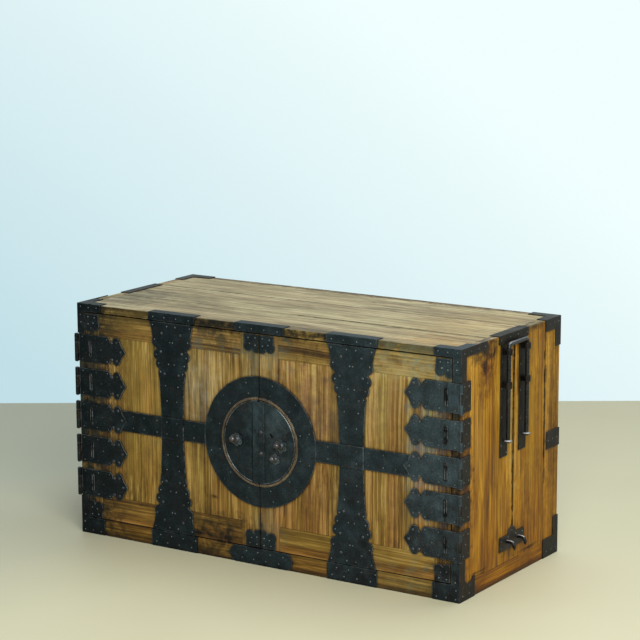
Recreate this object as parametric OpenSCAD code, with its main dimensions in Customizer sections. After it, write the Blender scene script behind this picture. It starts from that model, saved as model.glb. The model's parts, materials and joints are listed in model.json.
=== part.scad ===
// Low merchant chest: two ironbound doors on corner hinges, a sliding carrying handle and a pair
// of stacking hooks on each side, and a turning latch behind a round double lock plate.
// Millimetres. +X is to the right, +Y to the back, +Z up. The origin is the centre of the base.

/* [Carcass] */
// Width over the wood
body_w = 1046; // [900:1:1250]
// Depth over the wood
body_d = 463; // [420:1:600]
// Height over the wood
body_h = 564; // [530:1:680]
// Thickness of the side walls, which is the width of the posts
side_t = 20; // [18:0.5:26]
// Thickness of the top boards
top_t = 18; // [16:0.5:24]
// Thickness of the back boards
back_t = 14; // [10:0.5:20]
// Thickness of the bottom boards
bottom_t = 14; // [10:0.5:20]
// Height of the rails round the foot
rail_h = 40; // [34:1:56]
// Thickness of the front rail
rail_t = 22; // [16:0.5:30]
// Depth of the front posts
post_d = 40; // [30:1:60]
// Depth of the rear posts
rear_post_d = 71; // [50:1:90]
// Open joint between two boards
board_gap = 0.8; // [0.2:0.1:2]
// Where the first top board ends, from the front
top_joint = 150; // [100:1:180]
// Where the front side board ends, from the front
side_joint = 243; // [160:1:260]
// Width of the bearer under the bottom boards
bearer_w = 60; // [40:1:120]

/* [Inside] */
// Height of the shelf above the bottom boards
shelf_h = 236; // [200:1:280]
// Thickness of the shelf
shelf_t = 14; // [10:0.5:20]
// Distance from the front to the shelf
shelf_setback = 72; // [60:1:120]
// Side of the square cleats that carry the shelf
cleat = 20; // [14:1:28]
// Side of the square battens that stop the doors
stop_s = 12; // [8:1:18]
// Clearance between a closed door and its stops
stop_clear = 1; // [0.5:0.1:2]

/* [Doors] */
// Thickness of a door
door_t = 22; // [18:0.5:28]
// Gap round each door
door_gap = 2; // [1.6:0.1:3]
// How far the doors stand proud of the posts
door_proud = 0.5; // [0.3:0.1:1]
// Width of the stile at the hinges
hinge_stile_w = 40; // [34:1:50]
// Width of the stile where the doors meet
meeting_stile_w = 51; // [51:1:60]
// Height of the top rail of a door
top_rail_h = 52; // [44:1:60]
// Height of the bottom rail of a door
bottom_rail_h = 58; // [50:1:70]
// Thickness of a door panel
panel_t = 16; // [12:0.5:18]
// How far a panel lies behind the frame's face
panel_recess = 0.5; // [0.3:0.1:1]
// Depth of the groove that holds a panel
groove = 6; // [4:0.5:6]
// Thickness of the panel's tongue in its groove
tongue_t = 6; // [4:0.5:8]
// Length of a tenon
tenon_l = 26; // [16:1:30]
// Thickness of a tenon
tenon_t = 8; // [6:0.5:10]
// Clearance round tenons and tongues
joint_clear = 0.2; // [0.1:0.05:0.4]

/* [Iron] */
// Thickness of the sheet iron
iron_t = 2; // [1.5:0.1:2.5]
// Width of the irons where they fold on to the top
fold = 25; // [15:1:40]
// Clearance between neighbouring irons
iron_clear = 0.4; // [0.3:0.1:0.8]

/* [Corner hinges] */
// Hinges on each door
hinge_n = 5; // [3:1:5]
// Height of a hinge
hinge_h = 66; // [56:1:70]
// Distance from the end of a door to its first hinge
hinge_end = 53; // [48:0.5:60]
// Length of the square part of a leaf, from the corner
leaf_l = 97; // [85:1:110]
// Length of the lobed head of a leaf
head_l = 45; // [40:1:60]
// Distance from the square part of a leaf to the middle of its lobes
lobe_at = 18; // [16:1:20]
// Radius of the two lobes of a head
lobe_r = 10.5; // [8:0.5:12]
// Length of the leaf on the side of the chest
side_leaf_l = 42; // [30:1:60]
// Distance from both faces of the corner to the hinge axis
pivot_out = 4; // [3.8:0.1:6]
// Clearance between a knuckle and the corner of the post
corner_clear = 0.65; // [0.4:0.05:1]
// Radius of a hinge pin
pin_r = 2.5; // [2:0.1:3]
// Running clearance of a pin in its knuckles
pin_clear = 0.05; // [0.03:0.01:0.1]
// Clearance between two knuckles
knuckle_gap = 0.4; // [0.3:0.1:1]
// Height of the knuckle on the door
knuckle_h = 25; // [16:1:30]
// Length of the raised loop on a leaf
loop_l = 42; // [20:1:50]
// Width of that loop
loop_w = 8; // [6:0.5:12]
// Width of the rib that forms it
rib_w = 2.4; // [1.5:0.1:2.8]
// Height of the rib
rib_h = 1.6; // [0.8:0.1:2.5]
// Distance from the corner to the loop
loop_at = 37; // [30:1:60]

/* [Door irons] */
// Distance from the middle of the chest to the middle of a tapered band
band_x = 247; // [235:1:262]
// Half width of a tapered band at its waist
band_waist = 31; // [24:1:36]
// Half width of a tapered band at its ends
band_end = 63; // [58:1:70]
// Length of the shaped part at each end of a tapered band
flare_l = 141; // [120:1:170]
// Height of the cross band
cross_h = 49; // [36:1:56]
// Thickness of the plate where the bands cross
crossing_t = 2; // [1:0.1:2.5]
// Width of an iron at a door's corner
door_corner_w = 40; // [30:1:50]
// How far the irons on the frame reach past the tapered bands
band_margin = 3; // [1:0.5:8]
// Width of the irons at the middle of the top edge and the foot
centre_iron_w = 134; // [100:1:200]

/* [Corner irons] */
// Width of the front corner irons
corner_iron_w = 69; // [60:1:90]
// Width of the legs of the corner irons
leg_w = 22; // [18:1:30]
// Length of the strip along the top of the side
side_strip_l = 115; // [80:1:130]
// Length of the front irons' feet on the side
side_foot_l = 67; // [50:1:90]
// How far those feet rise above the rails
side_foot_rise = 7; // [0:1:16]
// Width of the rear corner irons
rear_iron_w = 72; // [60:1:90]
// Height of the rear irons along the top
rear_strip_h = 26; // [20:1:40]
// Height of the rear irons' feet
rear_foot_h = 45; // [36:1:60]
// Length of the upper legs of the rear irons
rear_top_leg = 67; // [50:1:90]
// Length of the lower legs of the rear irons
rear_foot_leg = 91; // [70:1:120]
// Width of the irons halfway up the rear corners
mid_iron_w = 62; // [50:1:80]
// Height of those irons
mid_iron_h = 41; // [30:1:60]
// How far they lie below the middle of the doors
mid_iron_drop = 13; // [0:1:30]

/* [Lock plate] */
// Radius of the ring round the lock plate
ring_r = 153; // [140:1:165]
// Radius of the lock plate
disc_r = 98; // [90:1:110]
// Thickness of the lock plate
disc_t = 3.5; // [3:0.1:5]
// Radius of the bead round the lock plate
rim_r = 3.3; // [1.5:0.1:4]
// Width of the lip on the edge of the lock plate, inside that bead
lip_w = 2.6; // [1.5:0.1:4]
// Height of the lip
lip_h = 1.2; // [0.6:0.1:2]
// Width of the cover strip over both doors
strip_w = 30; // [24:1:36]
// Thickness of the cover strip
strip_t = 2.5; // [1.5:0.1:4]
// Gap between the halves of the cover strip
strip_gap = 0.5; // [0.4:0.1:1]
// Radius of the two studs on the cover strip
stud_r = 5.5; // [3:0.1:5.5]
// Height of a stud above the middle of the doors, and of the other below it
stud_z = 25; // [15:1:40]

/* [Pulls] */
// Distance from the middle of the chest to a pull
pull_x = 61; // [60:1:75]
// Height of a pull above the middle of the doors
pull_z = 0; // [-10:1:15]
// Radius of the boss of a pull
boss_r = 16; // [12:0.5:17]
// Radius of the ball of a pull
ball_r = 8; // [5:0.5:9]
// Distance from the lock plate to the middle of the ball
ball_out = 20; // [16:0.5:26]
// Angle by which the ball droops
droop = 12; // [0:1:15]
// Radius of the tail that holds a pull
tail_r = 3; // [2:0.5:4]

/* [Latch] */
// Distance from the middle of the chest to the latch knob
latch_x = 45; // [43:0.5:50]
// Depth of the latch knob below the middle of the doors
latch_z = 33; // [26:1:40]
// Radius of the boss of the latch knob
knob_boss_r = 13; // [10:0.5:14]
// Radius of the ball of the latch knob
knob_r = 6; // [4:0.5:7]
// Distance from the lock plate to the middle of that ball
knob_out = 15; // [12:0.5:20]
// Petals of each boss
petal_n = 6; // [5:1:8]
// Radius of the spindle of the latch knob
spindle_r = 3; // [2.5:0.1:3]
// Running clearance of the spindle
spindle_clear = 0.1; // [0.05:0.01:0.1]
// Angle that the latch knob turns through
latch_turn = 60; // [40:1:70]
// Radius from the spindle to the crank pin
crank_r = 14; // [12:0.5:15]
// Radius of the crank pin
crank_pin_r = 2.5; // [2:0.1:3]
// Thickness of the crank
crank_t = 4; // [3:0.5:5]
// Clearance between the crank pin and the slot in the bolt
slot_clear = 0.4; // [0.3:0.05:0.6]
// Thickness of the bolt
bolt_t = 5; // [4:0.5:6]
// Clearance of the bolt in its guides
bolt_clear = 0.4; // [0.3:0.1:1]
// Thickness of the sheet of the lock case
case_t = 2; // [1.5:0.1:2.5]
// Distance from the meeting edge of the door to the lock case
case_inset = 3; // [3:0.5:5]
// Distance from the middle of the chest to the keyhole
key_x = 33; // [28:1:36]
// Height of the keyhole above the middle of the doors
key_z = 19; // [14:1:28]

/* [Carrying handles] */
// Distance from the front to the middle of a handle
handle_at = 237; // [200:1:260]
// Distance between the legs of a handle
bail_w = 87; // [70:1:110]
// Radius of the rod of a handle
rod_r = 5; // [4:0.5:6]
// Distance from the side of the chest to the middle of the rod
bail_out = 12.5; // [12:0.5:18]
// Distance from the top of the chest to the crossbar
bail_drop = 19; // [14:1:40]
// Radius of the bends of the handle
bend_r = 10; // [8:0.5:16]
// How far the handle slides up
bail_travel = 116; // [60:1:130]
// Height of a guide
guide_h = 14; // [10:1:20]
// Thickness of the wall of a guide
guide_wall = 3; // [3:0.1:5]
// Clearance of the rod in its guides
guide_clear = 0.3; // [0.2:0.05:0.5]
// Distance between the two guides of a leg
guide_pitch = 75; // [60:1:90]
// Height of the foot that stops a leg
foot_h = 7; // [5:0.5:10]
// Width of a strap under the handle
strap_w = 33; // [28:1:40]
// Length that a strap reaches below the foot of a leg
strap_below = 33; // [20:1:50]
// Width of the head of the handle's plate
plate_head_w = 138; // [130:1:170]

/* [Stacking hooks] */
// Distance between the two hooks
hook_w = 52; // [40:1:60]
// Height of the top of the hooks above the foot
hook_top = 92; // [84:1:110]
// Radius of a hook's rod
hook_r = 4; // [3:0.5:5]
// Width of the hooks' plate
hook_plate_w = 117; // [90:1:130]
// Height of the hooks' plate
hook_plate_h = 33; // [28:1:44]
// Height of the middle of the hooks' plate above the foot
hook_plate_z = 85; // [80:1:100]

/* [Hidden] */
$fn = 48;

// Colours
wood_front = "#a67a3c";
wood_side = "#9d6b2e";
wood_top = "#a89c7c";
wood_inner = "#94703e";
iron = "#232b2e";
worn_iron = "#4a4a48";

// Faces of the carcass
half_w = body_w / 2;
y_front = -body_d / 2;
y_back = body_d / 2;
inner_x = half_w - side_t;
under_top = body_h - top_t;
bearer_h = rail_h - bottom_t;
y_inner = y_front + rail_t;
shelf_z = rail_h + shelf_h;

// Faces of the right door, and the left one is its mirror image
y_door = y_front - door_proud;
y_door_back = y_door + door_t;
door_x0 = door_gap / 2;
door_x1 = inner_x - door_gap;
door_z0 = rail_h + door_gap;
door_z1 = under_top - door_gap;
mid_z = (door_z0 + door_z1) / 2;
frame_x0 = door_x0 + meeting_stile_w;
frame_x1 = door_x1 - hinge_stile_w;
frame_z0 = door_z0 + bottom_rail_h;
frame_z1 = door_z1 - top_rail_h;
tenon_h = min(bottom_rail_h, top_rail_h) / 2;
y_tenon = y_door + (door_t - tenon_t) / 2;
y_tongue = y_door + (door_t - tongue_t) / 2;

// Hinges
axis_x = half_w + pivot_out;
axis_y = y_front - pivot_out;
knuckle_r = pivot_out * sqrt(2) - corner_clear;
hinges_top = door_z1 - hinge_end;
hinges_bottom = door_z0 + hinge_end;
hinge_pitch = (hinges_top - hinges_bottom - hinge_h) / (hinge_n - 1);
hinge_z = [for (i = [0:hinge_n - 1]) hinges_bottom + hinge_h / 2 + i * hinge_pitch];
corner_x = half_w + iron_t;
leaf_edge = axis_x - knuckle_r - knuckle_gap;
side_leaf_edge = axis_y + knuckle_r + knuckle_gap;
tip_slope = 11;
tip_share = 0.42;
pin_head_r = knuckle_r - 1.4;
pin_head_h = 1.5;

// Irons beside the hinges
post_iron_gap = 2;
door_iron_inset = 2;
door_corner_h = hinge_end - door_iron_inset - 12;
tip_x = corner_x - leaf_l - head_l;

// Lock
y_disc = y_door - disc_t;
crank_half = latch_turn / 2;
bolt_throw = 2 * crank_r * sin(crank_half);
spindle_z = mid_z - latch_z;
pin_low = crank_r * cos(crank_half);
slot_w = 2 * (crank_pin_r + slot_clear);
slot_z0 = spindle_z + pin_low - crank_pin_r - slot_clear;
slot_z1 = spindle_z + crank_r + crank_pin_r + slot_clear;
slot_x = latch_x + bolt_throw / 2;
bolt_wall = 2;
bolt_z0 = slot_z0 - bolt_wall;
bolt_z1 = slot_z1 + bolt_wall;
case_x0 = door_x0 + case_inset;
bolt_x0 = case_x0 + 0.5;
bolt_x1 = slot_x + slot_w / 2 + 4;
case_x1 = bolt_x1 + case_t + 0.6;
case_z0 = spindle_z - 20;
case_z1 = mid_z + key_z + 16;
crank_gap = 1;
y_crank = y_door_back + crank_gap;
y_bolt = y_crank + crank_t + crank_gap;
y_case = y_bolt + bolt_t + crank_gap;
keeper_wall = 3;
keeper_l = bolt_throw;

// Carrying handles
bail_top = body_h - bail_drop;
upper_guide_z = bail_top - bend_r - guide_h / 2 - 0.5;
lower_guide_z = upper_guide_z - guide_pitch;
guide_r = rod_r + guide_wall;
foot_r = bail_out - iron_t - 1;
stop_gap = 1;
leg_bottom = lower_guide_z - guide_h / 2 - bail_travel - foot_h - stop_gap;
bail_leg = bail_top - leg_bottom;

// Shared shapes

// A block between two corners
module block(low, high) {
    translate(low)
        cube(high - low);
}

// A flat outline in X and Z, raised forward from the plane y
module on_front(y, t) {
    translate([0, y, 0])
        rotate([90, 0, 0])
            linear_extrude(t)
                children();
}

// A flat outline in distance from the front and Z, raised from the right side
module on_side(out, t) {
    translate([half_w + out, y_front, 0])
        rotate([90, 0, 90])
            linear_extrude(t)
                children();
}

// The right-hand shape as drawn, or its mirror image for the left
module hand(left) {
    if (left)
        mirror([1, 0, 0])
            children();
    else
        children();
}

// Both hands of a shape
module pair() {
    children();
    mirror([1, 0, 0])
        children();
}

// A rectangle between two corners
module rect(low, high) {
    translate(low)
        square(high - low);
}

// A cylinder that runs along Y, from y back by l
module rod_y(x, y, z, r, l) {
    translate([x, y + l, z])
        rotate([90, 0, 0])
            cylinder(r = r, h = l);
}

// Carcass

module top_boards() {
    joints = [0, top_joint, (top_joint + body_d) / 2, body_d];
    color(wood_top)
        for (i = [0:2])
            block([-inner_x, y_front + joints[i] + (i > 0 ? board_gap : 0), under_top],
                  [inner_x, y_front + joints[i + 1], body_h]);
}

module bottom_boards() {
    y_joint = (y_inner + y_back - back_t) / 2;
    color(wood_inner) {
        block([-inner_x, y_inner, bearer_h], [inner_x, y_joint - board_gap, rail_h]);
        block([-inner_x, y_joint, bearer_h], [inner_x, y_back - back_t, rail_h]);
    }
}

module base_bearer() {
    color(wood_inner)
        block([-bearer_w / 2, y_inner, 0], [bearer_w / 2, y_back - back_t, bearer_h]);
}

module front_rail() {
    color(wood_front)
        block([-inner_x, y_front, 0], [inner_x, y_inner, rail_h]);
}

module back_boards() {
    n = 3;
    step = under_top / n;
    color(wood_inner)
        for (i = [0:n - 1])
            block([-inner_x, y_back - back_t, i * step + (i > 0 ? board_gap : 0)],
                  [inner_x, y_back, (i + 1) * step]);
}

module side_boards(left) {
    hand(left)
        color(wood_side) {
            block([inner_x, y_front + post_d, rail_h],
                  [half_w, y_front + side_joint, body_h]);
            block([inner_x, y_front + side_joint + board_gap, rail_h],
                  [half_w, y_back - rear_post_d, body_h]);
        }
}

module front_posts() {
    color(wood_front)
        pair()
            block([inner_x, y_front, 0], [half_w, y_front + post_d, body_h]);
}

module rear_posts() {
    color(wood_side)
        pair()
            block([inner_x, y_back - rear_post_d, 0], [half_w, y_back, body_h]);
}

module side_rails() {
    color(wood_side)
        pair()
            block([inner_x, y_front + post_d, 0], [half_w, y_back - rear_post_d, rail_h]);
}

module shelf() {
    color(wood_inner)
        block([-inner_x, y_front + shelf_setback, shelf_z],
              [inner_x, y_back - back_t, shelf_z + shelf_t]);
}

module shelf_cleats() {
    color(wood_inner)
        pair()
            block([inner_x - cleat, y_front + shelf_setback, shelf_z - cleat],
                  [inner_x, y_back - back_t, shelf_z]);
}

module door_stops() {
    y0 = y_door_back + stop_clear;
    color(wood_inner) {
        block([-inner_x, y0, under_top - stop_s], [inner_x, y0 + stop_s, under_top]);
        block([-inner_x, y0, rail_h], [inner_x, y0 + stop_s, rail_h + stop_s]);
    }
}

// Doors

// The space of one tenon of a door rail, grown by c on each side, in the stile beside it
module tenon(x, z_mid, c) {
    translate([x, y_tenon - c, z_mid - tenon_h / 2 - c])
        cube([tenon_l + c, tenon_t + 2 * c, tenon_h + 2 * c]);
}

// The mid-heights of the two rails of a door
rail_mids = [(door_z0 + frame_z0) / 2, (door_z1 + frame_z1) / 2];

// The space of the panel's tongue, grown by c
module tongue_space(c) {
    block([frame_x0 - groove - c, y_tongue - c, frame_z0 - groove - c],
          [frame_x1 + groove + c, y_tongue + tongue_t + c, frame_z1 + groove + c]);
}

// The holes through a door behind its lock plate
module lock_holes() {
    rod_y(latch_x, y_door - 1, spindle_z, spindle_r + spindle_clear, door_t + 2);
    rod_y(key_x, y_door - 1, mid_z + key_z, key_r + 1.5, door_t + 2);
}

module hinge_stile(left) {
    hand(left)
        color(wood_front)
            difference() {
                block([frame_x1, y_door, door_z0], [door_x1, y_door_back, door_z1]);
                tongue_space(joint_clear);
                for (z = rail_mids)
                    tenon(frame_x1 - 0.01, z, joint_clear);
            }
}

module meeting_stile(left) {
    hand(left)
        color(wood_front)
            difference() {
                block([door_x0, y_door, door_z0], [frame_x0, y_door_back, door_z1]);
                tongue_space(joint_clear);
                for (z = rail_mids)
                    translate([2 * frame_x0, 0, 0])
                        mirror([1, 0, 0])
                            tenon(frame_x0 - 0.01, z, joint_clear);
                if (!left)
                    lock_holes();
            }
}

module door_rails(left) {
    spans = [[door_z0, frame_z0], [frame_z1, door_z1]];
    hand(left)
        color(wood_front)
            difference() {
                for (i = [0, 1]) {
                    block([frame_x0, y_door, spans[i][0]], [frame_x1, y_door_back, spans[i][1]]);
                    tenon(frame_x1 - 1, rail_mids[i], 0);
                    translate([2 * frame_x0, 0, 0])
                        mirror([1, 0, 0])
                            tenon(frame_x0 - 1, rail_mids[i], 0);
                }
                tongue_space(joint_clear);
            }
}

module door_panel(left) {
    y0 = y_door + panel_recess;
    c = joint_clear;
    hand(left)
        color(wood_front)
            difference() {
                union() {
                    block([frame_x0 + c, y0, frame_z0 + c],
                          [frame_x1 - c, y0 + panel_t, frame_z1 - c]);
                    tongue_space(-c);
                }
                tail_hole();
                if (!left)
                    lock_holes();
            }
}

// The hole for the tail of a pull
module tail_hole() {
    rod_y(pull_x, y_disc - 1, mid_z + pull_z, tail_r + 0.1, door_t + disc_t + 2);
}

// Corner hinges

// Outline of a front leaf: u from the corner inwards, v up from its middle
module leaf_outline() {
    h = hinge_h / 2;
    chamfer = 7;
    neck = h * 0.58;
    head_h = h * 0.84;
    lobe_u = leaf_l + lobe_at;
    tip_u = leaf_l + head_l;
    polygon([
        [0, -h], [leaf_l - chamfer, -h], [leaf_l, chamfer - h], [leaf_l, -neck],
        [lobe_u - 6, -neck], [lobe_u - 4, -head_h], [lobe_u + 9, -head_h],
        [tip_u - tip_slope, -h * tip_share], [tip_u, 0], [tip_u - tip_slope, h * tip_share],
        [lobe_u + 9, head_h], [lobe_u - 4, head_h], [lobe_u - 6, neck],
        [leaf_l, neck], [leaf_l, h - chamfer], [leaf_l - chamfer, h], [0, h]
    ]);
    for (s = [-1, 1])
        translate([lobe_u, s * (h - lobe_r)])
            circle(lobe_r);
}

// A knuckle of radius r between two heights, measured from the middle of the hinge
module knuckle(r, z0, z1) {
    translate([axis_x, axis_y, z0])
        cylinder(r = r, h = z1 - z0);
}

module hinge_leaf() {
    k = knuckle_h / 2;
    difference() {
        union() {
            intersection() {
                on_front(y_door, iron_t)
                    translate([corner_x, 0])
                        mirror([1, 0])
                            leaf_outline();
                block([0, y_door - 2 * iron_t, -hinge_h], [leaf_edge, y_door, hinge_h]);
            }
            block([leaf_edge - 1, y_door - iron_t, -k], [axis_x - 2, y_door, k]);
            knuckle(knuckle_r, -k, k);
            loop();
        }
        knuckle(pin_r + pin_clear, -hinge_h, hinge_h);
    }
}

// A flat slot shape of width w, as long as l
module slot_outline(w, l) {
    rect([-w / 2, -(l - w) / 2], [w / 2, (l - w) / 2]);
    for (s = [-1, 1])
        translate([0, s * (l - w) / 2])
            circle(w / 2);
}

// The raised loop on a leaf
module loop() {
    on_front(y_door - iron_t + 0.5, rib_h + 0.5)
        translate([corner_x - loop_at, 0])
            difference() {
                slot_outline(loop_w, loop_l);
                slot_outline(loop_w - 2 * rib_w, loop_l - 2 * rib_w);
            }
}

module hinge_leaves(left) {
    hand(left)
        color(iron)
            for (z = hinge_z)
                translate([0, 0, z])
                    hinge_leaf();
}

module hinge_side_leaf() {
    h = hinge_h / 2;
    k = knuckle_h / 2 + knuckle_gap;
    difference() {
        union() {
            block([half_w, side_leaf_edge, -h],
                  [half_w + iron_t, y_front + side_leaf_l, h]);
            for (z = [-h, k]) {
                block([half_w, axis_y + 1, z], [half_w + iron_t, side_leaf_edge + 1, z + h - k]);
                knuckle(knuckle_r, z, z + h - k);
            }
        }
        knuckle(pin_r + pin_clear, -hinge_h, hinge_h);
    }
}

module hinge_side_leaves(left) {
    hand(left)
        color(iron)
            for (z = hinge_z)
                translate([0, 0, z])
                    hinge_side_leaf();
}

module hinge_pins() {
    h = hinge_h / 2;
    color(worn_iron)
        pair()
            for (z = hinge_z)
                translate([0, 0, z]) {
                    knuckle(pin_r, -h, h);
                    knuckle(pin_head_r, h, h + pin_head_h);
                    knuckle(pin_head_r, -h - pin_head_h, -h);
                }
}

// Irons on the doors

// Half of a tapered band above its waist, as wide as x, up to the end of the door
module half_band_outline() {
    e = (door_z1 - door_z0) / 2;
    w = band_waist;
    flare = band_end - band_waist;
    l = flare_l;
    polygon([
        [0, -1], [w, -1], [w, cross_h / 2 + 1], [w + flare * 0.12, e - l],
        [w + flare * 0.24, e - l * 0.84], [w + flare * 0.13, e - l * 0.8],
        [w + flare * 0.25, e - l * 0.47], [w + flare * 0.4, e - l * 0.44],
        [w + flare * 0.72, e - l * 0.26], [w + flare * 0.82, e - l * 0.13], [w + flare, e],
        [0, e]
    ]);
    translate([w, e - l * 0.7])
        circle(l * 0.1);
    translate([w + flare * 0.22, e - l * 0.55])
        circle(l * 0.092);
    translate([w + flare * 0.32, e - l * 0.33])
        circle(l * 0.103);
}

module tapered_band(left) {
    hand(left)
        color(iron)
            on_front(y_door, iron_t)
                translate([band_x, mid_z])
                    for (m = [[1, 0], [0, 0]], n = [[0, 1], [0, 0]])
                        mirror(m)
                            mirror(n)
                                half_band_outline();
}

module cross_band(left) {
    h = cross_h / 2;
    v = hinge_h / 2 * tip_share;
    c = iron_clear;
    band_side = band_waist + c;
    lobes_x = corner_x - leaf_l - lobe_at - lobe_r - 2 * c;
    hand(left)
        color(iron) {
            on_front(y_door, iron_t)
                translate([0, mid_z])
                    polygon([
                        [band_x + band_side, -h], [lobes_x, -h],
                        [tip_x + tip_slope - 2 * c, -v], [tip_x - c, 0],
                        [tip_x + tip_slope - 2 * c, v], [lobes_x, h],
                        [band_x + band_side, h]
                    ]);
            on_front(y_door, iron_t)
                translate([0, mid_z])
                    difference() {
                        rect([disc_r, -h], [band_x - band_side, h]);
                        circle(ring_r + c);
                    }
            on_front(y_door - iron_t, crossing_t)
                translate([band_x, mid_z])
                    rect([-band_waist - 1, -h - 1], [band_waist + 1, h + 1]);
        }
}

// The right half of the doors' face
module right_half() {
    intersection() {
        children();
        block([door_x0, y_door - 50, mid_z - ring_r - 5], [ring_r + 5, y_door, mid_z + ring_r + 5]);
    }
}

// A profile of radius and height, turned about the lock plate's centre line
module turned_on_door() {
    translate([0, y_door, mid_z])
        rotate([90, 0, 0])
            rotate_extrude($fn = 96)
                children();
}

module ring_plate(left) {
    inner = disc_r + iron_clear;
    hand(left)
        color(iron)
            right_half()
                turned_on_door() {
                    rect([inner, 0], [ring_r, iron_t]);
                    intersection() {
                        translate([inner + rim_r, iron_t])
                            circle(rim_r);
                        rect([inner, 0], [inner + 2 * rim_r, iron_t + rim_r]);
                    }
                }
}

key_r = 3;

// The hooked keyhole through the lock plate
module keyhole() {
    translate([0, y_door + 1, 0])
        rotate([90, 0, 0])
            linear_extrude(disc_t + 2)
                translate([key_x, mid_z + key_z]) {
                    translate([-key_r * 0.8, key_r])
                        circle(key_r);
                    translate([key_r * 0.4, 0])
                        circle(key_r);
                    rect([-1, -2 * key_r], [key_r * 1.2, 0]);
                }
}

module lock_plate(left) {
    edge = 0.6;
    lip_top = disc_t + lip_h;
    hand(left)
        color(iron)
            difference() {
                right_half()
                    turned_on_door()
                        polygon([
                            [0, 0], [disc_r, 0], [disc_r, lip_top - edge],
                            [disc_r - edge, lip_top], [disc_r - lip_w + edge, lip_top],
                            [disc_r - lip_w, disc_t], [0, disc_t]
                        ]);
                tail_hole();
                if (!left) {
                    keyhole();
                    rod_y(latch_x, y_disc - 1, spindle_z, spindle_r + spindle_clear, disc_t + 2);
                }
            }
}

module cover_strip(left) {
    hand(left)
        color(iron) {
            on_front(y_disc, strip_t)
                translate([0, mid_z])
                    intersection() {
                        rect([strip_gap / 2, -disc_r], [strip_w / 2, disc_r]);
                        circle(disc_r - lip_w - iron_clear);
                    }
            if (!left)
                for (s = [-1, 1])
                    stud(strip_gap / 2 + stud_r + 0.2, mid_z + s * stud_z);
        }
}

// A domed stud on the cover strip
module stud(x, z) {
    translate([x, y_disc - strip_t, z])
        rotate([90, 0, 0])
            intersection() {
                translate([0, 0, -stud_r * 0.3])
                    sphere(stud_r * 1.044);
                cylinder(r = stud_r, h = 2 * stud_r);
            }
}

// Outline of an iron on a door's corner, which ends in a large lobe and a small one: x from the
// door's edge, z from its end
module corner_iron_outline(w, h) {
    large = w * 0.3;
    small = w * 0.2;
    rect([0, 0], [w - 2, h - large]);
    rect([0, h - large - 1], [w - large, h - small * 0.9]);
    rect([0, h - small], [small, h + small * 0.3]);
    translate([w - large, h - large])
        circle(large);
    translate([small, h - small * 0.7])
        circle(small);
}

module door_corner_irons(left) {
    x0 = door_x0 + 1;
    x1 = door_x1 - 1;
    w = door_corner_w;
    h = door_corner_h;
    z0 = door_z0 + 1;
    z1 = door_z1 - door_iron_inset;
    hand(left)
        color(iron)
            on_front(y_door, iron_t) {
                translate([x0, z0])
                    corner_iron_outline(w, h);
                translate([x0, z1])
                    mirror([0, 1])
                        corner_iron_outline(w, h);
                translate([x1, z0])
                    mirror([1, 0])
                        corner_iron_outline(w, h);
                translate([x1, z1])
                    mirror([1, 0])
                        mirror([0, 1])
                            corner_iron_outline(w, h);
            }
}

// Pulls and latch

// A boss of radius r: a dome on a washer like a flower
module boss(r) {
    petal = 0.34 * r;
    washer = 0.2 * r;
    linear_extrude(washer) {
        circle(0.74 * r);
        for (i = [0:petal_n - 1])
            rotate([0, 0, (i + 0.5) * 360 / petal_n])
                translate([r - petal, 0])
                    circle(petal);
    }
    rotate_extrude()
        intersection() {
            circle(0.64 * r);
            rect([0, washer / 2], [r, r]);
        }
}

// A ball on a neck that droops from its boss
module ball_on_neck(r, out) {
    rotate([-droop, 0, 0]) {
        translate([0, 0, 1])
            cylinder(r = r * 0.6, h = out - 1);
        translate([0, 0, out])
            sphere(r);
    }
}

module pull(left) {
    washer_r = 8;
    tail_back = y_door + panel_recess + panel_t;
    hand(left)
        color(worn_iron) {
            translate([pull_x, y_disc, mid_z + pull_z])
                rotate([90, 0, 0]) {
                    boss(boss_r);
                    ball_on_neck(ball_r, ball_out);
                }
            rod_y(pull_x, y_disc - 1, mid_z + pull_z, tail_r, tail_back + 1.5 - y_disc + 1);
            rod_y(pull_x, tail_back, mid_z + pull_z, washer_r, 1.5);
        }
}

module latch_knob() {
    lift = 0.3;
    arm_w = 2 * crank_pin_r - 1;
    arm_inset = 0.5;
    y_end = y_case + case_t;
    y_tip = y_bolt + bolt_t;
    pin_x = latch_x + crank_r * sin(crank_half);
    pin_z = spindle_z + pin_low;
    color(worn_iron) {
        translate([latch_x, y_disc - lift, spindle_z])
            rotate([90, 0, 0]) {
                boss(knob_boss_r);
                ball_on_neck(knob_r, knob_out);
            }
        rod_y(latch_x, y_disc - lift - 1, spindle_z, spindle_r, y_end - y_disc + lift + 1);
        rod_y(latch_x, y_crank, spindle_z, spindle_r + 2, crank_t);
        translate([latch_x, y_crank, spindle_z])
            rotate([0, crank_half, 0])
                translate([-arm_w / 2, arm_inset, 0])
                    cube([arm_w, crank_t - 2 * arm_inset, crank_r]);
        rod_y(pin_x, y_crank, pin_z, crank_pin_r, y_tip - y_crank);
    }
}

module lock_bolt() {
    color(worn_iron)
        difference() {
            block([bolt_x0, y_bolt, bolt_z0], [bolt_x1, y_bolt + bolt_t, bolt_z1]);
            for (z = [slot_z0 + slot_w / 2, slot_z1 - slot_w / 2])
                rod_y(slot_x, y_bolt - 1, z, slot_w / 2, bolt_t + 2);
            block([slot_x - slot_w / 2, y_bolt - 1, slot_z0 + slot_w / 2],
                  [slot_x + slot_w / 2, y_bolt + bolt_t + 1, slot_z1 - slot_w / 2]);
        }
}

// The space of the bolt, grown by c, between two distances across the doors
module bolt_way(x0, x1, c) {
    block([x0, y_bolt - c, bolt_z0 - c], [x1, y_bolt + bolt_t + c, bolt_z1 + c]);
}

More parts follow.
